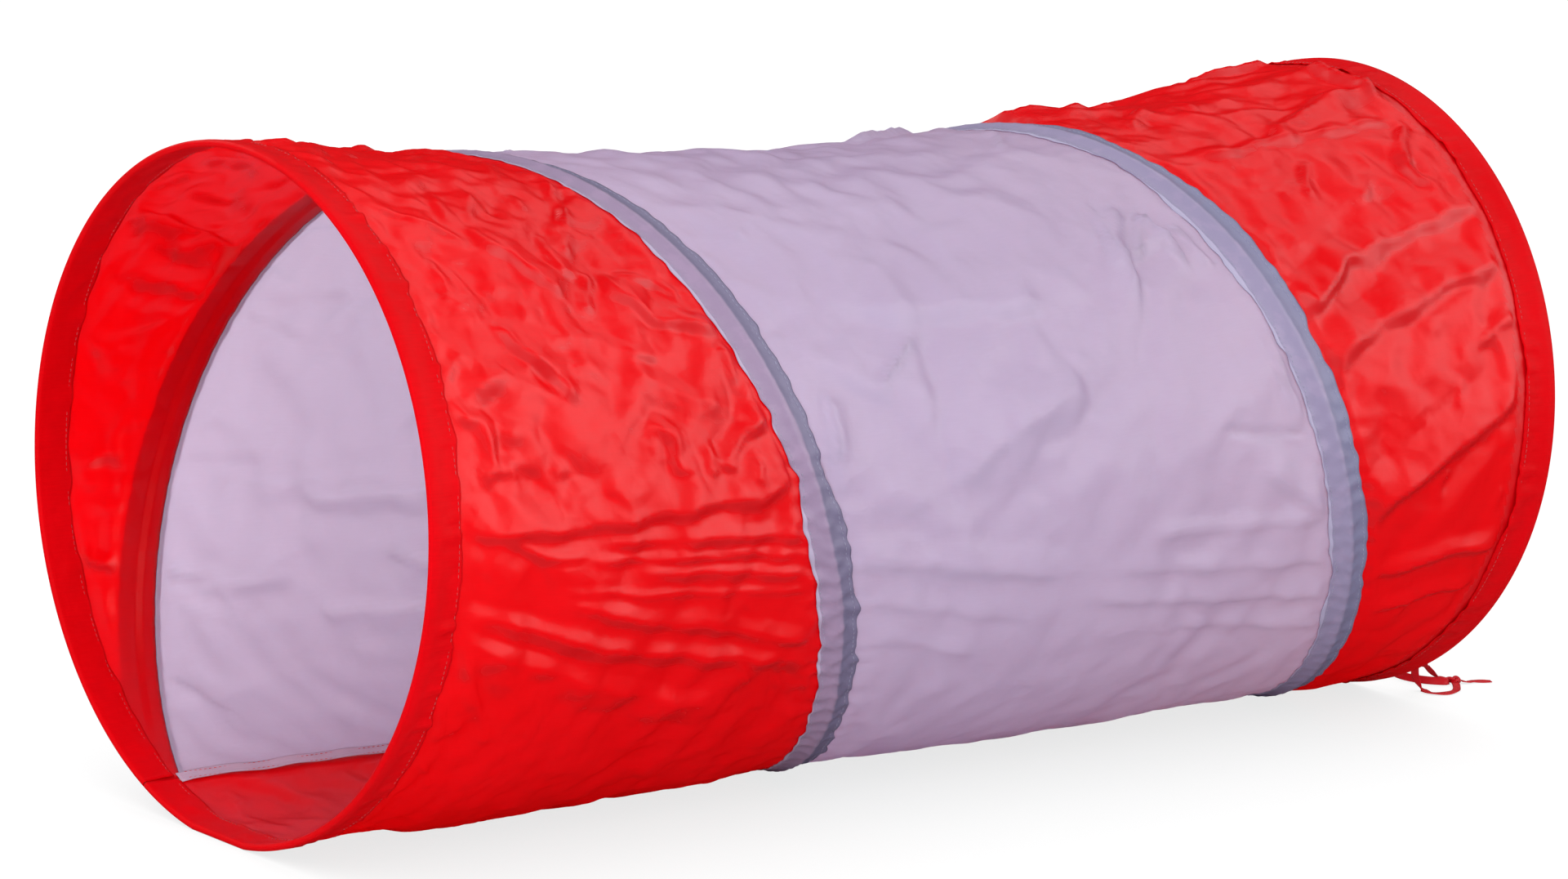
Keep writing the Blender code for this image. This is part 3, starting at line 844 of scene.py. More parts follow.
# %% The creases, in mm and degrees
FRONT_CREASES = [
    ([(31, 265.5), (72, 266.4), (126, 265.7), (182, 265.1), (225, 263.9), (280, 263.5),
      (324, 259.7)], 34, 7, 2.6),
    ([(60, 267.7), (95, 270.3), (130, 270.8)], 6, 5, 1.4),
    ([(147, 268.6), (239, 268.7), (326, 270.5)], 9, 9, 1.7),
    ([(137, 271.4), (240, 272.5), (329, 273.7)], 6, 6, 1.3),
    ([(177, 274.2), (249, 275.3), (335, 277.7)], 6, 8, 1.5),
    ([(114, 276.3), (200, 278.4), (347, 281.1)], 4, 4, 1),
    ([(116, 278.6), (160, 281.2), (190, 283.3), (249, 285.6), (360, 291.6)], 12, 8, 1.9),
    ([(36, 279.1), (106, 283.7), (156, 287.1), (205, 289.4), (279, 292.4),
      (357, 295.8)], 10, 12, 2.4),
    ([(34, 283.8), (67, 287), (113, 290.7), (161, 294.7), (226, 299.8),
      (282, 303.1)], 12, 22, 2.6),
    ([(36, 285.9), (54, 294), (81, 304.5)], 8, 10, 1.6),
    ([(116, 298.8), (120, 307.5)], 4, 5, 0.9),
    ([(323, 295.3), (338, 305.7)], 4, 5, 1.1),
    ([(351, 298.8), (359, 305.1)], 4, 4, 1),
    ([(285, 293.8), (296, 299.3)], 4, 4, 0.8),
    ([(41, 207.4), (61, 209.3), (76, 212.4), (97, 214.9)], 9, 4, 1.1),
    ([(107, 201.1), (92, 209.3)], 6, 6, 1.3),
    ([(135, 201.4), (115, 208.5)], 6, 5, 1.1),
    ([(135, 203.3), (138, 207.9)], 6, 4, 0.9),
    ([(174, 200.8), (171, 206)], 6, 4, 0.9),
    ([(232, 197.6), (214, 203.6), (195, 207.7)], 7, 6, 1.3),
    ([(166, 210.6), (164, 216.6), (167, 220.4), (177, 221.4)], 10, 6, 1.5),
    ([(186, 220.7), (171, 227.8)], 9, 11, 2.2),
    ([(193, 211.9), (179, 217.3)], 6, 5, 1.2),
    ([(106, 215.5), (123, 217.5), (140, 222.4), (155, 226.2)], 22, 7, 2.2),
    ([(110, 211.6), (110, 216.3)], 8, 7, 1.4),
    ([(61, 219.6), (60, 223), (53, 227.2)], 8, 5, 1.5),
    ([(87, 231.1), (97, 235.1), (115, 239.4), (134, 244.4)], 24, 8, 2.9),
    ([(45, 245.1), (83, 239.5)], 12, 9, 1.9),
    ([(202, 220.3), (205, 226.3), (224, 229.4), (250, 231.7), (272, 234.6)], 18, 8, 2.6),
    ([(212, 220.2), (242, 223.7), (258, 227.4)], 8, 4, 1.2),
    ([(261, 225.2), (280, 229.2)], 6, 4, 1.2),
    ([(239, 211.5), (269, 210.9)], 9, 8, 1.5),
    ([(139, 233.5), (168, 234.4), (189, 236.6)], 10, 12, 1.4),
    ([(188, 236), (216, 237.8)], 8, 7, 1.4),
    ([(188, 240.6), (213, 243.7), (236, 246.1), (257, 246.6)], 14, 13, 2.1),
    ([(269, 236), (274, 239.7), (276, 244.1)], 8, 6, 1.5),
    ([(252, 256.7), (270, 251.7), (305, 247.9)], 12, 10, 2.9),
    ([(191, 248.6), (210, 251.5), (214, 258.7)], 14, 9, 2.4),
    ([(238, 253.6), (242, 258.8)], 9, 9, 1.9),
    ([(244, 255.8), (263, 257.7)], 6, 6, 1.4),
    ([(282, 257.1), (280, 261)], 7, 6, 1.5),
    ([(27, 245.5), (49, 248.1), (56, 256.1)], 12, 9, 1.9),
    ([(80, 247.4), (73, 256.2)], 16, 12, 1.2),
    ([(43, 257.1), (75, 255.8)], 10, 14, 2.3),
    ([(28, 241.3), (47, 236.6)], 6, 6, 1.3),
    ([(58, 228.4), (77, 225.8)], 6, 5, 1),
    ([(120, 224.3), (111, 230.4)], 8, 3, 0.6),
    ([(69, 230.5), (87, 226.4)], 9, 7, 0.9),
    ([(106, 254.5), (110, 265.1)], 14, 3, 0.6),
    ([(23, 261.5), (32, 264.9)], 5, 5, 1.2),
    ([(27, 290), (38, 303)], 4, 4, 1.4),
    ([(32, 307), (56, 315)], 5, 5, 1.4),
    ([(215, 196), (196, 210)], 7, 8, 1.4),
]
MIDDLE_CREASES = [
    ([(452, 264), (580, 247)], 62, 26, 4.4),
    ([(452, 236), (452, 263)], 36, 14, -2.4),
    ([(356, 246), (346, 264)], 16, 6, 2.8),
    ([(400, 230), (575, 232)], 44, 15, 2.6),
    ([(442, 237), (398, 246)], 6, 6, 1.6),
    ([(640, 234), (672, 213)], 12, 7, 2.8),
    ([(650, 227), (704, 222)], 14, 6, 2.2),
    ([(688, 217), (706, 229)], 6, 6, 2.8),
    ([(711, 221), (727, 230)], 5, 6, 2.2),
    ([(654, 212), (649, 235)], 7, 7, 2),
    ([(664, 227), (694, 217)], 7, 6, 2.2),
    ([(757, 243), (773, 262)], 9, 6, 2.8),
    ([(704, 261.5), (786, 264)], 4, 4, -1.6),
    ([(742, 269), (816, 281)], 26, 8, 2.8),
    ([(640, 278), (818, 281)], 12, 7, 1.8),
    ([(620, 284), (830, 290)], 13, 7, 1.9),
    ([(590, 289), (842, 298)], 14, 8, 2.2),
    ([(690, 299), (855, 306)], 12, 8, 1.6),
    ([(366, 275.5), (565, 283)], 24, 10, 2.4),
    ([(384, 284), (540, 291)], 16, 9, 1.6),
    ([(395, 292), (500, 298)], 12, 8, 1.2),
    ([(664, 180), (638, 191)], 4, 5, 1.4),
    ([(560, 205), (610, 222)], 40, 30, 2),
    ([(330, 214), (352, 206)], 18, 12, 1.6),
]
REAR_CREASES = [
    ([(770, 204.7), (805, 205.5), (850, 205.1), (885, 205.2), (923, 205.9),
      (970, 205.8)], 12, 5, 2.6),
    ([(857, 204.1), (881, 200.4), (913, 198), (954, 195.6), (981, 195.1)], 14, 16, 3.4),
    ([(977, 179.3), (976, 190.7), (978, 198.3)], 16, 12, 3.6),
    ([(972, 207.2), (952, 212.6), (941, 217.7), (947, 221.3), (958, 223)], 7, 7, 2.8),
    ([(861, 211.1), (853, 216.1), (848, 219.9)], 8, 6, 2),
    ([(822, 218.2), (844, 216.4)], 8, 8, 1.5),
    ([(906, 217.3), (894, 223)], 7, 7, 1.4),
    ([(803, 242.5), (825, 238), (850, 234.4), (866, 233)], 26, 8, 4.2),
    ([(863, 233.3), (899, 230.8), (954, 228.1), (992, 227.6)], 26, 10, 2.6),
    ([(809, 252.6), (837, 248.2), (872, 245.8), (924, 242.1), (983, 239.9)], 24, 10, 3.2),
    ([(950, 254), (968, 250.5), (984, 250.1)], 8, 6, 1.6),
    ([(856, 282.8), (866, 278.4), (895, 274.7), (916, 271.5), (939, 268.7), (962, 266.5),
      (977, 262.3)], 30, 11, 5),
    ([(915, 281), (914, 277.8), (921, 275.3)], 8, 6, 1.5),
    ([(874, 294.9), (908, 293), (931, 291.6), (986, 292)], 14, 8, 3),
    ([(891, 303.4), (919, 302.3), (948, 301), (980, 300.9)], 12, 8, 2.4),
    ([(911, 306.4), (920, 303.5)], 5, 5, 1.2),
    ([(928, 273.4), (938, 271), (961, 270)], 10, 6, 1.6),
    ([(928, 259.7), (924, 264.3)], 9, 7, 1.3),
    ([(977, 281.2), (972, 284.6)], 5, 5, 1.2),
    ([(838, 185), (839, 187.5)], 6, 6, 1.2),
    ([(836, 191.1), (890, 194.1), (920, 194.8)], 9, 8, 1.3),
    ([(760, 190), (800, 184)], 9, 8, 1.8),
]


def loose_creases(seed, count, wide):
    """Creases on the far side: mostly along the tube, as the coil pulls the cloth that way."""
    random = np.random.default_rng(seed)
    found = []
    for _ in range(count):
        x, a = random.uniform(0.05, 0.95) * LENGTH * 1000, random.uniform(32, 172)
        long, slant = random.uniform(35, 150), random.normal(0, 9)
        height = random.uniform(1.0, 3.4) * random.choice((1, 1, -0.6))
        above, below = random.uniform(8, 26) * wide, random.uniform(5, 12) * wide
        ends = [(x - long / 2, a - slant / 2), (x + long / 2, a + slant / 2)]
        found.append((ends, above, below, height))
    return found


CREASES = FRONT_CREASES + MIDDLE_CREASES + REAR_CREASES
CREASES += loose_creases(5, 70, 1.0) + loose_creases(9, 24, 2.2)
print(len(CREASES), "creases")

# %% [markdown]
# ## How the panels hang
# Between two turns of wire the cloth runs almost straight, because it is stretched along
# the tube, so it stands a little off the coil's own waist.  Where a tape is sewn on, it is
# gathered a little.  Both heights are functions of the place in the flat pattern, so a tape
# and the cloth under it share their gathers and never cut through each other.


# %% Sewn strips
SEAM_STRIP = 0.006                     # half the strip that is sewn along the long seam
TAPE_STRIP = TAPE_WIDTH / 2 + 0.001


def away_from_tape(x, turn):
    """Signed distance from the nearest turn of the tape's middle, and that turn's number."""
    offsets = np.stack([x - line(turn + number * TURN) for number in range(3)])
    nearest = np.abs(offsets).argmin(axis=0)
    return np.take_along_axis(offsets, nearest[None], axis=0)[0], nearest


def room(x, turn):
    """Distance to the nearest sewn strip: 0 on a hem, a tape or the long seam."""
    found = np.minimum(x - HEM_WIDTH, LENGTH - REAR_HEM - HEM_WAVE - x)
    found = np.minimum(found, (turn - SEAM) * RADIUS - SEAM_STRIP)
    found = np.minimum(found, (SEAM + TURN - turn) * RADIUS - SEAM_STRIP)
    beside, _ = away_from_tape(x, turn)
    return np.maximum(0, np.minimum(found, np.abs(beside) - TAPE_STRIP))


# %% Waist and gathers
DRAWN_IN, HANGS_OUT = 0.0012, 0.0014   # between two strips, above and at the bottom
HUMP, HUMP_AT = 0.005, 0.36            # the cloth stands up here, on top of the tube


def waist(x, turn):
    """Height of the smooth cloth between two sewn strips."""
    start = np.full(np.shape(x), HEM_WIDTH)
    end = np.full(np.shape(x), LENGTH - REAR_HEM)
    for number in range(3):
        middle = line(turn + number * TURN)
        start = np.where(middle < x, np.maximum(start, middle + TAPE_WIDTH / 2), start)
        end = np.where(middle > x, np.minimum(end, middle - TAPE_WIDTH / 2), end)
    width = np.maximum(end - start, 1e-4)
    share = np.clip((x - start) / width, 0, 1)
    size = np.minimum(1, width / 0.44) ** 1.5
    from_bottom = np.abs((turn + math.pi) % TURN - math.pi)
    low = bell(from_bottom, 0, math.radians(32))
    depth = -DRAWN_IN * (1 - low) + HANGS_OUT * low
    taut = narrowing(x) - narrowing(start) * (1 - share) - narrowing(end) * share
    from_hump = ((x - HUMP_AT) / 0.13) ** 2
    hump = HUMP * np.exp(-from_hump - ((from_bottom - math.pi) / 0.6) ** 2)
    arch = 4 * share * (1 - share)
    return (depth * size + hump) * arch + taut * (1 - low)


GATHER_HEIGHT = 0.00038
GATHER_EVERY = (0.0165, 0.0262)        # two waves that beat, so that no two folds are alike


def gathers(x, turn):
    """Small folds square to the tape, pulled in by its stitches; none on the wire itself."""
    beside, number = away_from_tape(x, turn)
    s = turn * RADIUS
    near = bell(np.maximum(0, np.abs(beside) - 0.015), 0, 0.016)
    off_wire = np.clip((np.abs(beside) - 0.003) / 0.009, 0, 1)
    a = np.degrees(turn)
    strong = bell(a, 292, 34) * (number == 0) + 0.55 * bell(a, 285, 40)
    side = np.where(beside > 0, 3.1, 0.0)
    run = s * 1.05 + side * 0.01 + 0.004 * drift(x * 0.4, s, 0.06, 4)
    short, long = (run * TURN / every for every in GATHER_EVERY)
    wave = np.sin(short + side) + 0.6 * np.sin(long + 2 * side)
    seam = np.clip(np.minimum(turn - SEAM, SEAM + TURN - turn) / 0.12, 0, 1)
    hem = np.clip(np.minimum(x - HEM_WIDTH, LENGTH - REAR_HEM - x) / 0.02, 0, 1)
    return GATHER_HEIGHT * wave * near * off_wire * (0.55 + strong) * seam * hem


# %% Creases and facets together
LARGE_FACET, LARGE_HEIGHT = 0.034, 1.5     # size in m, height in mm
SMALL_FACET, SMALL_HEIGHT = 0.016, 0.62


def relief(x, turn, crush, seed):
    """Height of the creases and crushed facets of the loose cloth."""
    s = turn * RADIUS
    loose = np.clip(room(x, turn) / 0.010, 0, 1)
    a = np.degrees(turn)
    pleated = bell(a, 283, 17)         # where the long pleats run, straight and smooth
    bend = 0.0018 - 0.0014 * pleated
    bent_x = x + bend * drift(x, s, 0.045, 11)
    bent_s = s + bend * drift(x, s, 0.050, 12)
    total = np.zeros(np.shape(x))
    for route, above, below, height in CREASES:
        total = total + fold(bent_x, bent_s, route, above, below, height)
    low = np.clip(bell(a, 22, 26) + bell(a, 360, 48), 0, 1)     # pressed on the floor
    calm = (1 - 0.75 * low) * (1 - 0.7 * pleated)
    facets = crushed(x, s, LARGE_FACET, seed) * LARGE_HEIGHT
    facets = facets + crushed(x, s, SMALL_FACET, seed + 1) * SMALL_HEIGHT
    return (total * (1 - 0.6 * low) + facets * crush * calm / 1000) * loose


test_x, test_s = np.meshgrid(np.linspace(0.05, 0.2, 60), np.linspace(0.8, 1.0, 60))
highest = float(relief(test_x, test_s / RADIUS, 1.0, 3).max())
print("creases stand up to", round(highest * 1000, 1), "mm")

# %% [markdown]
# ## Letting the cloth settle
# A sheet that is only bent by formulas looks drawn.  So each panel first goes through
# Blender's cloth solver: it is pinned where it is sewn, made a touch larger than the space
# it has to cross, and let go.  It buckles into its own soft wrinkles, which the creases are
# then laid over.  Laying a cut sheet on the tube would be quicker, but it would have no
# memory of weight or slack.

# %% Cut a panel
def cut_cloth(low, high, cell):
    """A flat piece whose rows run beside the tape, from low to high at the long seam."""
    s0, s1 = SEAM * RADIUS, (SEAM + TURN) * RADIUS
    slope = CLIMB / RADIUS
    inset = 0.7 * GAP
    bm = bmesh.new()
    bmesh.ops.create_grid(
        bm, x_segments=round((high - low) / cell), y_segments=round((s1 - s0) / cell), size=0.5
    )
    for vert in bm.verts:
        s = s0 + inset + (vert.co.y + 0.5) * (s1 - s0 - 2 * inset)
        vert.co = (low + (vert.co.x + 0.5) * (high - low) + slope * (s - s0), s, 0)
    cut(bm, CLOTH_EDGE, True)
    cut(bm, LENGTH - CLOTH_EDGE, False)
    pattern = bm.loops.layers.uv.new("pattern")
    for face in bm.faces:
        for corner in face.loops:
            corner[pattern].uv = corner.vert.co.xy
    area = sum(face.calc_area() for face in bm.faces)
    return mesh_from("cut", bm), area


# %% Pin it and let it settle
FRAMES = 28               # until the cloth has buckled
FIRST_BUMP = 0.003        # unevenness that the cloth starts with
BUMP_SCALE = 38


def settle(mesh, slack, seed):
    """Lets a pinned panel buckle under a little weight, and returns its mesh."""
    flat = flat_of(mesh)
    x, turn = flat[:, 0], flat[:, 1] / RADIUS
    free = room(x, turn)
    noisy = np.array([
        noise.noise(Vector((a * BUMP_SCALE, b * BUMP_SCALE, seed))) for a, b in flat
    ])
    start = place(x, turn, waist(x, turn) + FIRST_BUMP * noisy * np.clip(free / 0.02, 0, 1))
    move_to(mesh, start)
    made = piece("settling", mesh, red_cloth)
    pinned = made.vertex_groups.new(name="sewn")
    pinned.add([int(i) for i in np.flatnonzero(free <= 0)], 1.0, "REPLACE")
    solver = made.modifiers.new("cloth", "CLOTH")
    cloth = solver.settings
    cloth.quality = 5
    cloth.mass = 0.002
    cloth.tension_stiffness = cloth.compression_stiffness = 40
    cloth.shear_stiffness = 8
    cloth.bending_stiffness = 0.0005
    cloth.tension_damping = cloth.compression_damping = cloth.shear_damping = 1
    cloth.bending_damping = 0.01
    cloth.air_damping = 1
    cloth.vertex_group_mass = "sewn"
    cloth.shrink_min = -slack
    cloth.effector_weights.gravity = 0.3
    solver.collision_settings.use_collision = False
    solver.point_cache.frame_start = 1
    solver.point_cache.frame_end = FRAMES
    for frame_number in range(1, FRAMES + 1):
        bpy.context.scene.frame_set(frame_number)
    settled = applied(made)
    bpy.context.scene.frame_set(1)
    return settled


# %% Where the creases get painted shade
CREASE_SHADE_FROM, CREASE_SHADE_OVER = 0.10, 0.32    # leaning at which it starts, and till it is full


def store_painted_shade(mesh, x, turn):
    """Stores painted shade where each point leans down in a crease, and the doubled strip by the
    rear hem, as an attribute from 0 to 1.
    """
    normals = np.empty(len(mesh.vertices) * 3, np.float32)
    mesh.vertex_normals.foreach_get("vector", normals)
    normals = normals.reshape(-1, 3)
    round_y, round_z = np.sin(turn), -np.cos(turn)
    square = normals[:, 1] * round_y + normals[:, 2] * round_z
    normals *= np.where(square < 0, -1, 1)[:, None]
    # Cloth that leans downward, or stands steep, gets painted shade.
    leaning = round_z - normals[:, 2]
    steep = np.sqrt(np.clip(1 - square**2, 0, 1))
    share = np.clip((0.6 * leaning + 0.4 * steep - CREASE_SHADE_FROM) / CREASE_SHADE_OVER, 0, 1)
    # Beside the rear hem its raw edge lies under the cloth, which lies double there and is
    # darkened too.
    raw_edge = LENGTH - TURNED_IN + 0.001 * drift(turn * RADIUS, x * 0, 0.06, 97)
    share = np.maximum(share, np.clip((x - raw_edge) / 0.0015, 0, 0.8))
    stored = mesh.attributes.new("shade_and_doubling", "FLOAT", "POINT")
    stored.data.foreach_set("value", eased(share).astype(np.float32))
    return float(share.mean())


# %% From the cut to the last wrinkle
CLOTH = 0.0003            # thickness that the panels show
FLOOR_GAP = 0.0005


def make_panel(name, low, high, cell, finish, crush, slack, seed):
    """A panel from its cut to its final wrinkles; the result has half the cell."""
    mesh, area = cut_cloth(low, high, cell)
    mesh = settle(mesh, slack, seed)
    finer = piece("finer", mesh, finish)
    rounded = finer.modifiers.new("finer", "SUBSURF")
    rounded.levels = rounded.render_levels = 1
    mesh = applied(finer)
    x, turn = place_of(mesh)
    hung = waist(x, turn)
    drifted = points_of(mesh) - place(x, turn, hung)
    drifted *= np.clip(room(x, turn) / 0.004, 0, 1)[:, None]
    height = hung + gathers(x, turn) + relief(x, turn, crush, seed)
    final = place(x, turn, height) + drifted
    final[:, 2] = np.maximum(final[:, 2], FLOOR_GAP)
    move_to(mesh, final)
    share = store_painted_shade(mesh, x, turn)
    made = piece(name, mesh, finish)
    thicken(made, CLOTH)
    print(name, len(mesh.vertices), "points,", round(area, 3), "m2 of cloth, drifted",
          round(float(np.abs(drifted).max() * 1000), 1), "mm,", round(share, 3), "in creases")
    return made, area


# %% Make the three panels
joint = [float(line(SEAM + number * TURN)) + JOINT for number in range(3)]
front_panel, front_area = make_panel(
    "front_red_panel", joint[0] - GAP - CLIMB * TURN, joint[0] - GAP, cell=0.0056,
    finish=red_cloth, crush=1.0, slack=0.012, seed=3)
middle_panel, middle_area = make_panel(
    "lavender_panel", joint[0] + GAP, joint[1] - GAP, cell=0.0076,
    finish=lavender_cloth, crush=0.40, slack=0.006, seed=8)
rear_panel, rear_area = make_panel(
    "rear_red_panel", joint[1] + GAP, joint[1] + GAP + CLIMB * TURN, cell=0.0060,
    finish=red_cloth, crush=0.7, slack=0.010, seed=14)
fit(front_panel, "front_end", "red_cloth", "front_panel", folds=True)
fit(middle_panel, "front_end", "lavender_cloth", "middle_panel", folds=True)
fit(rear_panel, "front_end", "red_cloth", "rear_panel", folds=True)

# %% [markdown]
# ## The casing tape
# The tape is sewn down along both edges and the wire lifts its middle into a round ridge.
# A grid that is laid along the wire's line keeps that ridge sharp with few faces.  Its
# width wanders, because the tape was fed by hand: where it was caught in a fold it is
# narrow, and beyond that it spreads.

# %% The tape's width, in degrees and mm
NEAR_WIDTH = [
    (22, 34), (180, 33), (206, 34), (225, 36), (236, 34), (245, 30), (250, 33), (256, 30),
    (261, 22), (264, 31), (270, 39), (276, 36), (281, 32), (286, 36), (292, 33), (297, 35),
    (303, 31), (312, 33), (320, 31), (328, 36), (345, 33), (382, 34),
]
FAR_WIDTH = [
    (22, 34), (176, 35), (188, 40), (200, 26), (206, 30), (215, 37), (222, 39), (232, 38),
    (240, 36), (246, 33), (251, 32), (258, 35), (268, 33), (280, 35), (288, 35), (295, 32),
    (301, 35), (310, 33), (330, 32), (345, 34), (382, 34),
]
HIDDEN_WIDTH = [(22, 34), (382, 34)]


# %% The tape's heights
def half_width(number, turn, side):
    """Half the tape's width at an angle, with its small waves."""
    a = np.degrees(turn)
    at, width = zip(*(NEAR_WIDTH, FAR_WIDTH, HIDDEN_WIDTH)[number])
    s = turn * RADIUS
    calm = np.clip((a - 170) / 30, 0.4, 1)
    wave = 0.0010 * drift(s + side * 3, s * 0, 0.030, 21 + number)
    wave = wave + 0.0005 * drift(s, s * 0 + side, 0.011, 41)
    return np.interp(a, at, width) / 1000 / 2 + wave * calm


def casing_height(beside):
    """Middle of the tape over the cloth: the wire's ridge, then a slack flank to the stitches."""
    past = np.maximum(0, np.abs(beside) - WIRE / 2)
    flank = TAPE_WIDTH / 2 - STITCH_MARGIN - WIRE / 2
    share = np.clip(1 - past / flank, 0, 1)
    return WING + LAYER / 2 + (CROWN - WING) * share**1.7


PUCKER_HEIGHT, PUCKER_EVERY = 0.0011, 0.0135
PUCKERED = (1.0, 0.55, 0.3)            # how strongly, on each turn of the tape


def tape_puckers(number, beside, turn):
    """Ridges across the tape where it is gathered: they only lift it."""
    s = turn * RADIUS
    a = np.degrees(turn)
    low = bell(a, 290, 36) * PUCKERED[number] + 0.22
    wandering = 0.9 * drift(s, beside * 3, 0.05, 61 + number)
    wave = np.sin(s * TURN / PUCKER_EVERY + wandering + beside * 90)
    wave = np.maximum(0, wave) ** 1.5 + 0.5 * np.maximum(0, drift(s, beside, 0.02, 71))
    flat_edge = np.clip(1.25 - np.abs(beside) / (TAPE_WIDTH / 2), 0.25, 1)
    return PUCKER_HEIGHT * wave * low * flat_edge


# %% Make the tape
SEWN_LOW = LAYER / 2 + 0.0001          # middle of a layer that lies on the floor
TAPE_CELL = 0.0026
SEAM_GAP = 0.0006                      # angle that the tape's ends leave at the long seam


def make_tape(number):
    """One turn of the tape, from seam to seam, cut where it meets a hem."""
    first = SEAM + number * TURN + SEAM_GAP
    last = min(first + TURN - 2 * SEAM_GAP, JOINS + math.radians(12))
    rows = round((last - first) * RADIUS / TAPE_CELL)

    def lay(share, along):
        s = (first + along * (last - first)) * RADIUS
        turn = s / RADIUS
        half = half_width(number, np.float64(turn - number * TURN), 1 if share > 0 else -1)
        beside = 2 * share * float(half)
        return (beside, s), (line(turn) + beside, s, 0)

    ends = ((HEM_WIDTH + GAP, True), (LENGTH - REAR_HEM - HEM_WAVE - GAP, False))
    mesh = patterned_grid("tape", 20, rows, lay, ends)
    beside, turn = place_of(mesh)
    x, local = line(turn) + beside, turn - number * TURN
    height = casing_height(beside) + gathers(x, local) + tape_puckers(number, beside, local)
    final = place(x, turn, height)
    final[:, 2] = np.maximum(final[:, 2], SEWN_LOW)
    move_to(mesh, final)
    name = f"casing_tape_{number + 1}_strip"
    made = piece(name, mesh, far_tape if number == 1 else near_tape)
    thicken(made, LAYER)
    fit(made, "front_end", "tape", f"casing_tape_{number + 1}", folds=True)
    print(name, "is", round((last - first) * math.hypot(RADIUS, CLIMB), 3), "m long")


for number in range(3):
    make_tape(number)

# %% [markdown]
# ## The hems
# Each hem is the cloth folded back round its hoop and stitched.  In section it is a hairpin:
# an outer leg that rides over the wire, a round rim, and an inner leg.  A grid takes that
# section round the tube, and its width becomes the path along the hairpin.

# %% A hem's section
RIM_X = 0.00245           # middle of the rim's curve
RIM_CURVE = 0.0022
RIM_HEIGHT = 0.00135
LEG, CURVE = 12, 8        # cells in each leg and in the round rim
HAIRPIN = 2 * LEG + CURVE


def hem_height(x, turn, rear):
    """Middle of a hem's outer leg over the cloth: it rides over every wire inside."""
    a = turn % TURN
    third = LENGTH - line(a + 2 * TURN) if rear else line(a)
    third = np.where((third > BESIDE_X) & (third < HEM_WIDTH + 0.004), third, BESIDE_X)
    over = np.zeros(np.shape(x))
    for wire in (HOOP_X, BESIDE_X, third):
        past = np.maximum(0, np.abs(x - wire) - 0.0014)
        over = np.maximum(over, np.clip(1 - past / 0.014, 0, 1) ** 1.6)
    over = np.where(x < BESIDE_X, 1.0, over)
    return WING + LAYER / 2 + (CROWN - WING) * over


def hem_section(step, turn, rear, seed):
    """Distance from the rim, height and path along the cloth, for each step of the hairpin."""
    outer_leg, inner_leg = step <= LEG, step >= LEG + CURVE
    share = np.where(outer_leg, step / LEG, (HAIRPIN - step) / LEG)
    s = turn * RADIUS

    def pucker(stretch, size, number):
        return np.maximum(0, drift(s, x * stretch, size, seed + number))

    wide = REAR_HEM if rear else HEM_WIDTH - HEM_WAVE
    wide = wide + HEM_WAVE * np.clip(drift(s, s * 0, 0.05, seed + 5), -1, 1)
    x = wide + (RIM_X - wide) * np.clip(share, 0, 1)
    slack = np.clip((x - 0.006) / 0.010, 0, 1)
    puckers = pucker(0.25, 0.017, 0) + 0.5 * pucker(0.5, 0.008, 1)
    outer = hem_height(x, turn, rear) + 0.0011 * puckers * slack
    inner = np.full(len(x), -WING - LAYER / 2) - 0.0009 * pucker(0.4, 0.022, 2) * slack
    around = math.pi / 2 + (step - LEG) / CURVE * math.pi
    round_path = 0.029 + (around - math.pi / 2) * RIM_CURVE
    curve = (RIM_X + RIM_CURVE * np.cos(around), RIM_HEIGHT + RIM_CURVE * np.sin(around))
    path = np.where(outer_leg, 0.028 - x, np.where(inner_leg, 0.033 + x, round_path))
    height = np.where(outer_leg, outer, np.where(inner_leg, inner, curve[1]))
    return np.where(outer_leg | inner_leg, x, curve[0]), height, path


print("a hem's hairpin has", HAIRPIN, "cells")


# %% Make the hems
HEM_ROWS = 480


def make_hem(name, node, body, rear, seed):
    """A hem from seam to seam; its UV map is first the step and turn, then the cloth's own."""
    inset = 0.0005 / RADIUS

    def lay(share, along):
        step = round((share + 0.5) * HAIRPIN)
        turn = SEAM + inset + along * (TURN - 2 * inset)
        return (step, turn), (step, turn, 0)

    mesh = patterned_grid(name, HAIRPIN, HEM_ROWS, lay)
    step, turn = flat_of(mesh).T
    x, height, path = hem_section(step, turn, rear, seed)
    cloth = np.stack((path, turn * RADIUS), axis=-1)[corners_of(mesh)]
    mesh.uv_layers["pattern"].uv.foreach_set("vector", cloth.astype(np.float32).ravel())
    final = place(LENGTH - x if rear else x, turn, height)
    final[:, 2] = np.maximum(final[:, 2], SEWN_LOW)
    move_to(mesh, final)
    if rear:
        mesh.flip_normals()
    made = piece(name, mesh, hem_cloth)
    thicken(made, LAYER)
    fit(made, body, "hem", node)
    print(name, [round(v, 4) for v in made.dimensions])


make_hem("front_rim_hem", "front_hem", "front_end", False, 81)
make_hem("rear_rim_hem", "rear_hem", "rear_end", True, 91)

# %% [markdown]
# ## The coil and the seam binding
# The wire is only felt through the tape, but it is there: one smooth tube along the line.
# The binding covers the long seam inside, and shows as a pale lip along the floor.  It is
# a narrow grid like the tape, lifted off the seam where its sewing lets it.


# %% Make the coil and the binding
def wire_x(turn):
    return np.clip(line(turn), BESIDE_X, LENGTH - BESIDE_X)


FACET = 7.5               # degrees between two corners of the tube's solids
coil_from, coil_to = math.radians(FACET) + 0.0004, math.radians(106 * FACET) - 0.0004
turns = np.linspace(coil_from, coil_to, 560)
coil_points = [Vector(p) for p in place(wire_x(turns), turns, WING + WIRE / 2)]
coil_mesh = swept("coil", coil_points, WIRE)
fit(piece("coil_spring", coil_mesh, steel), "front_end", "wire", "coil_wire", folds=True)

BINDING = 0.010


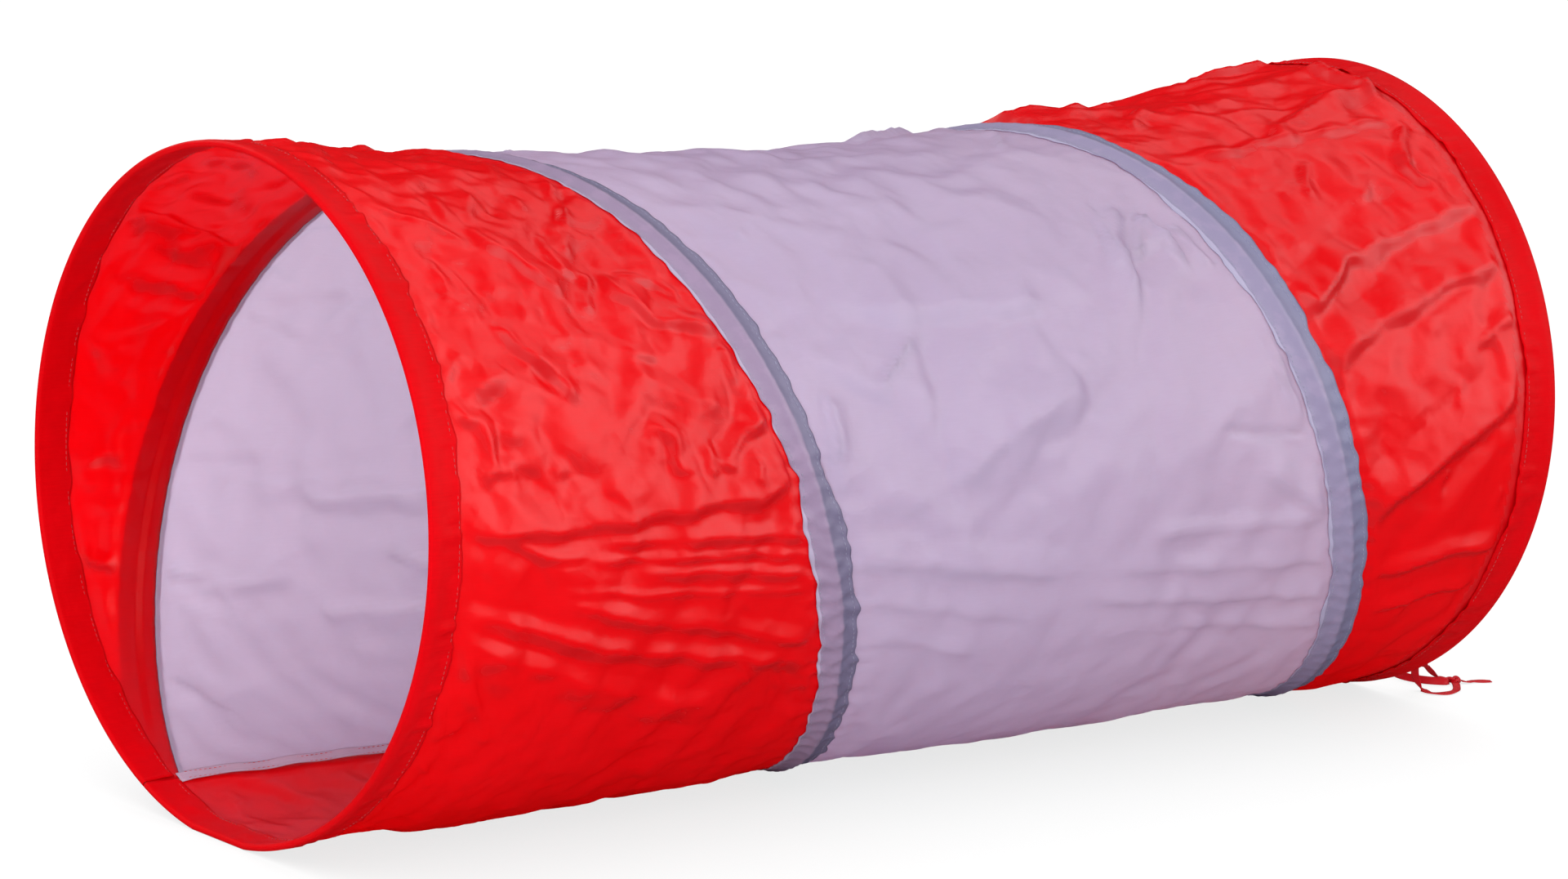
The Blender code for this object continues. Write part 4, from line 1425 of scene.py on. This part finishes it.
def lay_binding(share, along):
    x = HEM_WIDTH + GAP + along * (LENGTH - 2 * HEM_WIDTH - 2 * GAP)
    s = SEAM * RADIUS + share * BINDING
    return (x, s), (x, s, 0)


binding_mesh = patterned_grid("binding", 6, 320, lay_binding)
x, s = flat_of(binding_mesh).T
across = (s - SEAM * RADIUS) / BINDING
lift = 0.0012 * np.maximum(0, drift(x, s * 0, 0.05, 33) * 0.6 + 0.4) * (0.5 + np.abs(across))
s = s + 0.0009 * drift(x, s * 0, 0.04, 34)
ends = np.clip(np.minimum(x - HEM_WIDTH, LENGTH - HEM_WIDTH - x) / 0.01, 0, 1)
move_to(binding_mesh, place(x, s / RADIUS, -WING - LAYER / 2 - lift * ends))
binding = piece("seam_binding_strip", binding_mesh, binding_cloth)
thicken(binding, LAYER)
fit(binding, "front_end", "lavender_cloth", "seam_binding", folds=True)
coil_length = sum((b - a).length for a, b in zip(coil_points, coil_points[1:]))
print("coil", round(coil_length, 3), "m of wire")

# %% [markdown]
# ## Stitches
# Machine stitches are short raised threads with a small gap between them.  A bump in the
# material could draw them, but it would vanish from the mesh.  So one stitch is a ball of a
# few faces, an Array modifier makes as many as a row needs, and each copy is then stretched
# along its own piece of the seam.

# %% Make rows of stitches
STITCH, STITCH_EVERY, THREAD = 0.0028, 0.0040, 0.00055


def stitch_row(name, body, finish, slot, rows, folds):
    """One piece of stitches along rows of points; each row is (points, outward directions)."""
    middles, runs, outs = [], [], []
    for points, outward in rows:
        steps = np.linalg.norm(np.diff(points, axis=0), axis=1)
        at = np.concatenate(([0], np.cumsum(steps)))

        def found(values, where):
            return np.stack([np.interp(where, at, values[:, k]) for k in range(3)], axis=-1)

        where = np.arange(STITCH_EVERY, at[-1] - STITCH_EVERY, STITCH_EVERY)
        middles.append(found(points, where))
        runs.append((found(points, where + STITCH / 2) - middles[-1]) * 2)
        outs.append(found(outward, where))
    middle, run, outwards = (np.concatenate(part) for part in (middles, runs, outs))
    outwards /= np.linalg.norm(outwards, axis=1)[:, None]
    side = np.cross(run, outwards)
    side /= np.linalg.norm(side, axis=1)[:, None]
    bm = bmesh.new()
    bmesh.ops.create_icosphere(bm, subdivisions=1, radius=0.5)
    mesh = mesh_from(name, bm)
    one = points_of(mesh)
    holder = piece("stitch", mesh, finish)
    row = holder.modifiers.new("row", "ARRAY")
    row.count = len(middle)
    row.use_relative_offset = False
    mesh = applied(holder)
    spread = (
        middle[:, None]
        + one[None, :, 0:1] * run[:, None]
        + one[None, :, 1:2] * side[:, None] * THREAD
        + one[None, :, 2:3] * outwards[:, None] * THREAD
    )
    move_to(mesh, spread.reshape(-1, 3))
    fit(piece(name, mesh, finish), body, slot, folds=folds)
    print(name, len(middle), "stitches")


def row_at(x, turn, height, over_floor=True):
    """A row's points and its outward directions."""
    points = place(x, turn, height)
    if over_floor:
        points[:, 2] = np.maximum(points[:, 2], THREAD / 2)
    return points, np.stack((turn * 0, np.sin(turn), -np.cos(turn)), axis=-1)


# %% Stitch the tapes, the hems and the long seam
for number in range(3):
    rows = []
    first, last = SEAM + number * TURN + 0.01, min(SEAM + (number + 1) * TURN - 0.01, JOINS)
    for side in (-1, 1):
        turn = np.linspace(first, last, 1200)
        half = half_width(number, turn - number * TURN, side)
        beside = side * np.minimum(half - 0.0032, JOINT + 0.001)
        x = line(turn) + beside
        keep = (x > HEM_WIDTH + 0.002) & (x < LENGTH - HEM_WIDTH - 0.002)
        turn, x, beside = turn[keep], x[keep], beside[keep]
        local = turn - number * TURN
        height = casing_height(beside) + gathers(x, local) + tape_puckers(number, beside, local)
        rows.append(row_at(x, turn, height + LAYER / 2))
    stitch_row(f"tape_stitches_{number + 1}", "front_end", slate_thread, "tape", rows, True)

for name, body, rear in (
    ("front_hem_stitches", "front_end", False),
    ("rear_hem_stitches", "rear_end", True),
):
    turn = np.linspace(SEAM + 0.01, SEAM + TURN - 0.01, 1200)
    x = np.full(len(turn), (REAR_HEM if rear else HEM_WIDTH) - STITCH_MARGIN)
    along = LENGTH - x if rear else x
    outer = hem_height(x, turn, rear) + LAYER / 2 + 0.0004
    inner = np.full(len(turn), -WING - LAYER - 0.0002)
    rows = [row_at(along, turn, outer), row_at(along, turn, inner, over_floor=False)]
    stitch_row(name, body, red_thread, "hem", rows, False)

SEAM_ROW = 0.0034         # from the long seam to a row of its stitches
x = np.linspace(HEM_WIDTH + 0.004, LENGTH - HEM_WIDTH - 0.004, 900)
rows = [
    row_at(x, SEAM + side * SEAM_ROW / RADIUS + x * 0, -WING - LAYER - 0.0010, over_floor=False)
    for side in (-1, 1)
]
stitch_row("seam_stitches", "front_end", red_thread, "lavender_cloth", rows, True)

# %% [markdown]
# ## The panels' areas
# The three panels' areas of cloth, as cut, are printed.

# %% The panels' areas
print("areas", round(front_area, 3), round(middle_area, 3), round(rear_area, 3))

# %% [markdown]
# ## Floor, light and background
# The photograph is a studio picture on white.  The lamps only light the tunnel; the white
# comes from the floor, which adds a glow of its own for the camera's rays alone, so that
# it is white away from the tunnel.  Near the tunnel that glow is darkened by ambient
# occlusion as a painted shadow, over a faint real shadow on its dark base colour.  Two of
# the lamps are boxes that only show as the shine on the cloth.


# %% The studio
FLOOR, UNLIT, WHITE, BLACK = (0.80,) * 3, (0.05,) * 3, (1.0,) * 3, (0.0,) * 3


def studio_floor():
    """A floor that lights the tunnel like paper, and glows white for the camera alone, with a
    painted shadow near the tunnel.
    """
    finish = Finish("studio_floor", FLOOR, Roughness=0.9, Specular_IOR_Level=0.0)
    camera_ray = finish.node("ShaderNodeLightPath")
    glossy_ray = Socket(finish, camera_ray.socket.node.outputs["Is Glossy Ray"])
    pale = finish.mix(glossy_ray, FLOOR, UNLIT)
    finish.give("Base Color", finish.mix(camera_ray, pale, UNLIT))
    # The camera's glow is darkened where the tunnel hides the sky: a painted shadow.
    occlusion_for_painted_shadow = finish.node("ShaderNodeAmbientOcclusion", {"Distance": 0.5}, out=1, samples=16)
    shown = finish.mix(finish.between(occlusion_for_painted_shadow, -0.25, 1.0), (0.74, 0.745, 0.745), WHITE)
    finish.give("Emission Color", finish.mix(camera_ray, BLACK, shown))
    finish.give("Emission Strength", 1.0)
    bm = bmesh.new()
    bmesh.ops.create_grid(bm, x_segments=8, y_segments=8, size=30)
    return piece("studio_floor", mesh_from("floor", bm), finish.material)


def lamp(name, at, towards, size, power, only_shine=False):
    data = bpy.data.lights.new(name, "AREA")
    data.shape = "RECTANGLE"
    data.size, data.size_y = size
    data.energy = power
    made = bpy.data.objects.new(name, data)
    bpy.context.scene.collection.objects.link(made)
    aim = (Vector(towards) - Vector(at)).to_track_quat("-Z", "Y")
    made.matrix_world = Matrix.Translation(at) @ aim.to_matrix().to_4x4()
    if only_shine:
        made.visible_diffuse = made.visible_transmission = False


studio_floor()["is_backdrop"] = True
lamp("key", (-1.9, -3.1, 3.0), (0, 0, 0.2), (3.2, 2.2), 84)
lamp("low_fill", (-3.4, -2.8, 0.9), (-0.2, 0, 0.2), (2.4, 1.2), 42)
lamp("side_box", (2.9, -2.6, 1.65), (0, 0, 0.25), (4.2, 3.2), 138, only_shine=True)
lamp("top_box", (2.4, 0.3, 3.2), (0, 0, 0.3), (3.4, 2.2), 38, only_shine=True)
lamp("behind", (-0.6, 3.6, 2.4), (0, 0, 0.2), (3.0, 2.0), 62)

SOFT_WORLD, GLOSSY_WORLD = 1.0, 0.05
world = bpy.data.worlds.new("studio")
bpy.context.scene.world = world
world.use_nodes = True
tree = world.node_tree
rays = tree.nodes.new("ShaderNodeLightPath")
light = tree.nodes["Background"]
for strength, kind in ((GLOSSY_WORLD, "Is Glossy Ray"), (1.0, "Is Camera Ray")):
    other = tree.nodes.new("ShaderNodeBackground")
    other.inputs["Strength"].default_value = strength
    other.inputs["Color"].default_value = (1, 1, 1, 1)
    either = tree.nodes.new("ShaderNodeMixShader")
    tree.links.new(rays.outputs[kind], either.inputs[0])
    tree.links.new(light.outputs[0], either.inputs[1])
    tree.links.new(other.outputs[0], either.inputs[2])
    light = either
tree.nodes["Background"].inputs["Color"].default_value = (1, 1, 1, 1)
tree.nodes["Background"].inputs["Strength"].default_value = SOFT_WORLD
tree.links.new(light.outputs[0], tree.nodes["World Output"].inputs["Surface"])
bpy.context.scene.view_settings.view_transform = "Standard"
print("lamps:", ", ".join(lamp_data.name for lamp_data in bpy.data.lights))

# %% Sizes: how much the model grew
shown_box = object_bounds()
grown = [[round((b - a) * 1000, 1) for a, b in zip(*ends)] for ends in zip(cad_box, shown_box)]
print("grew by", grown, "mm")
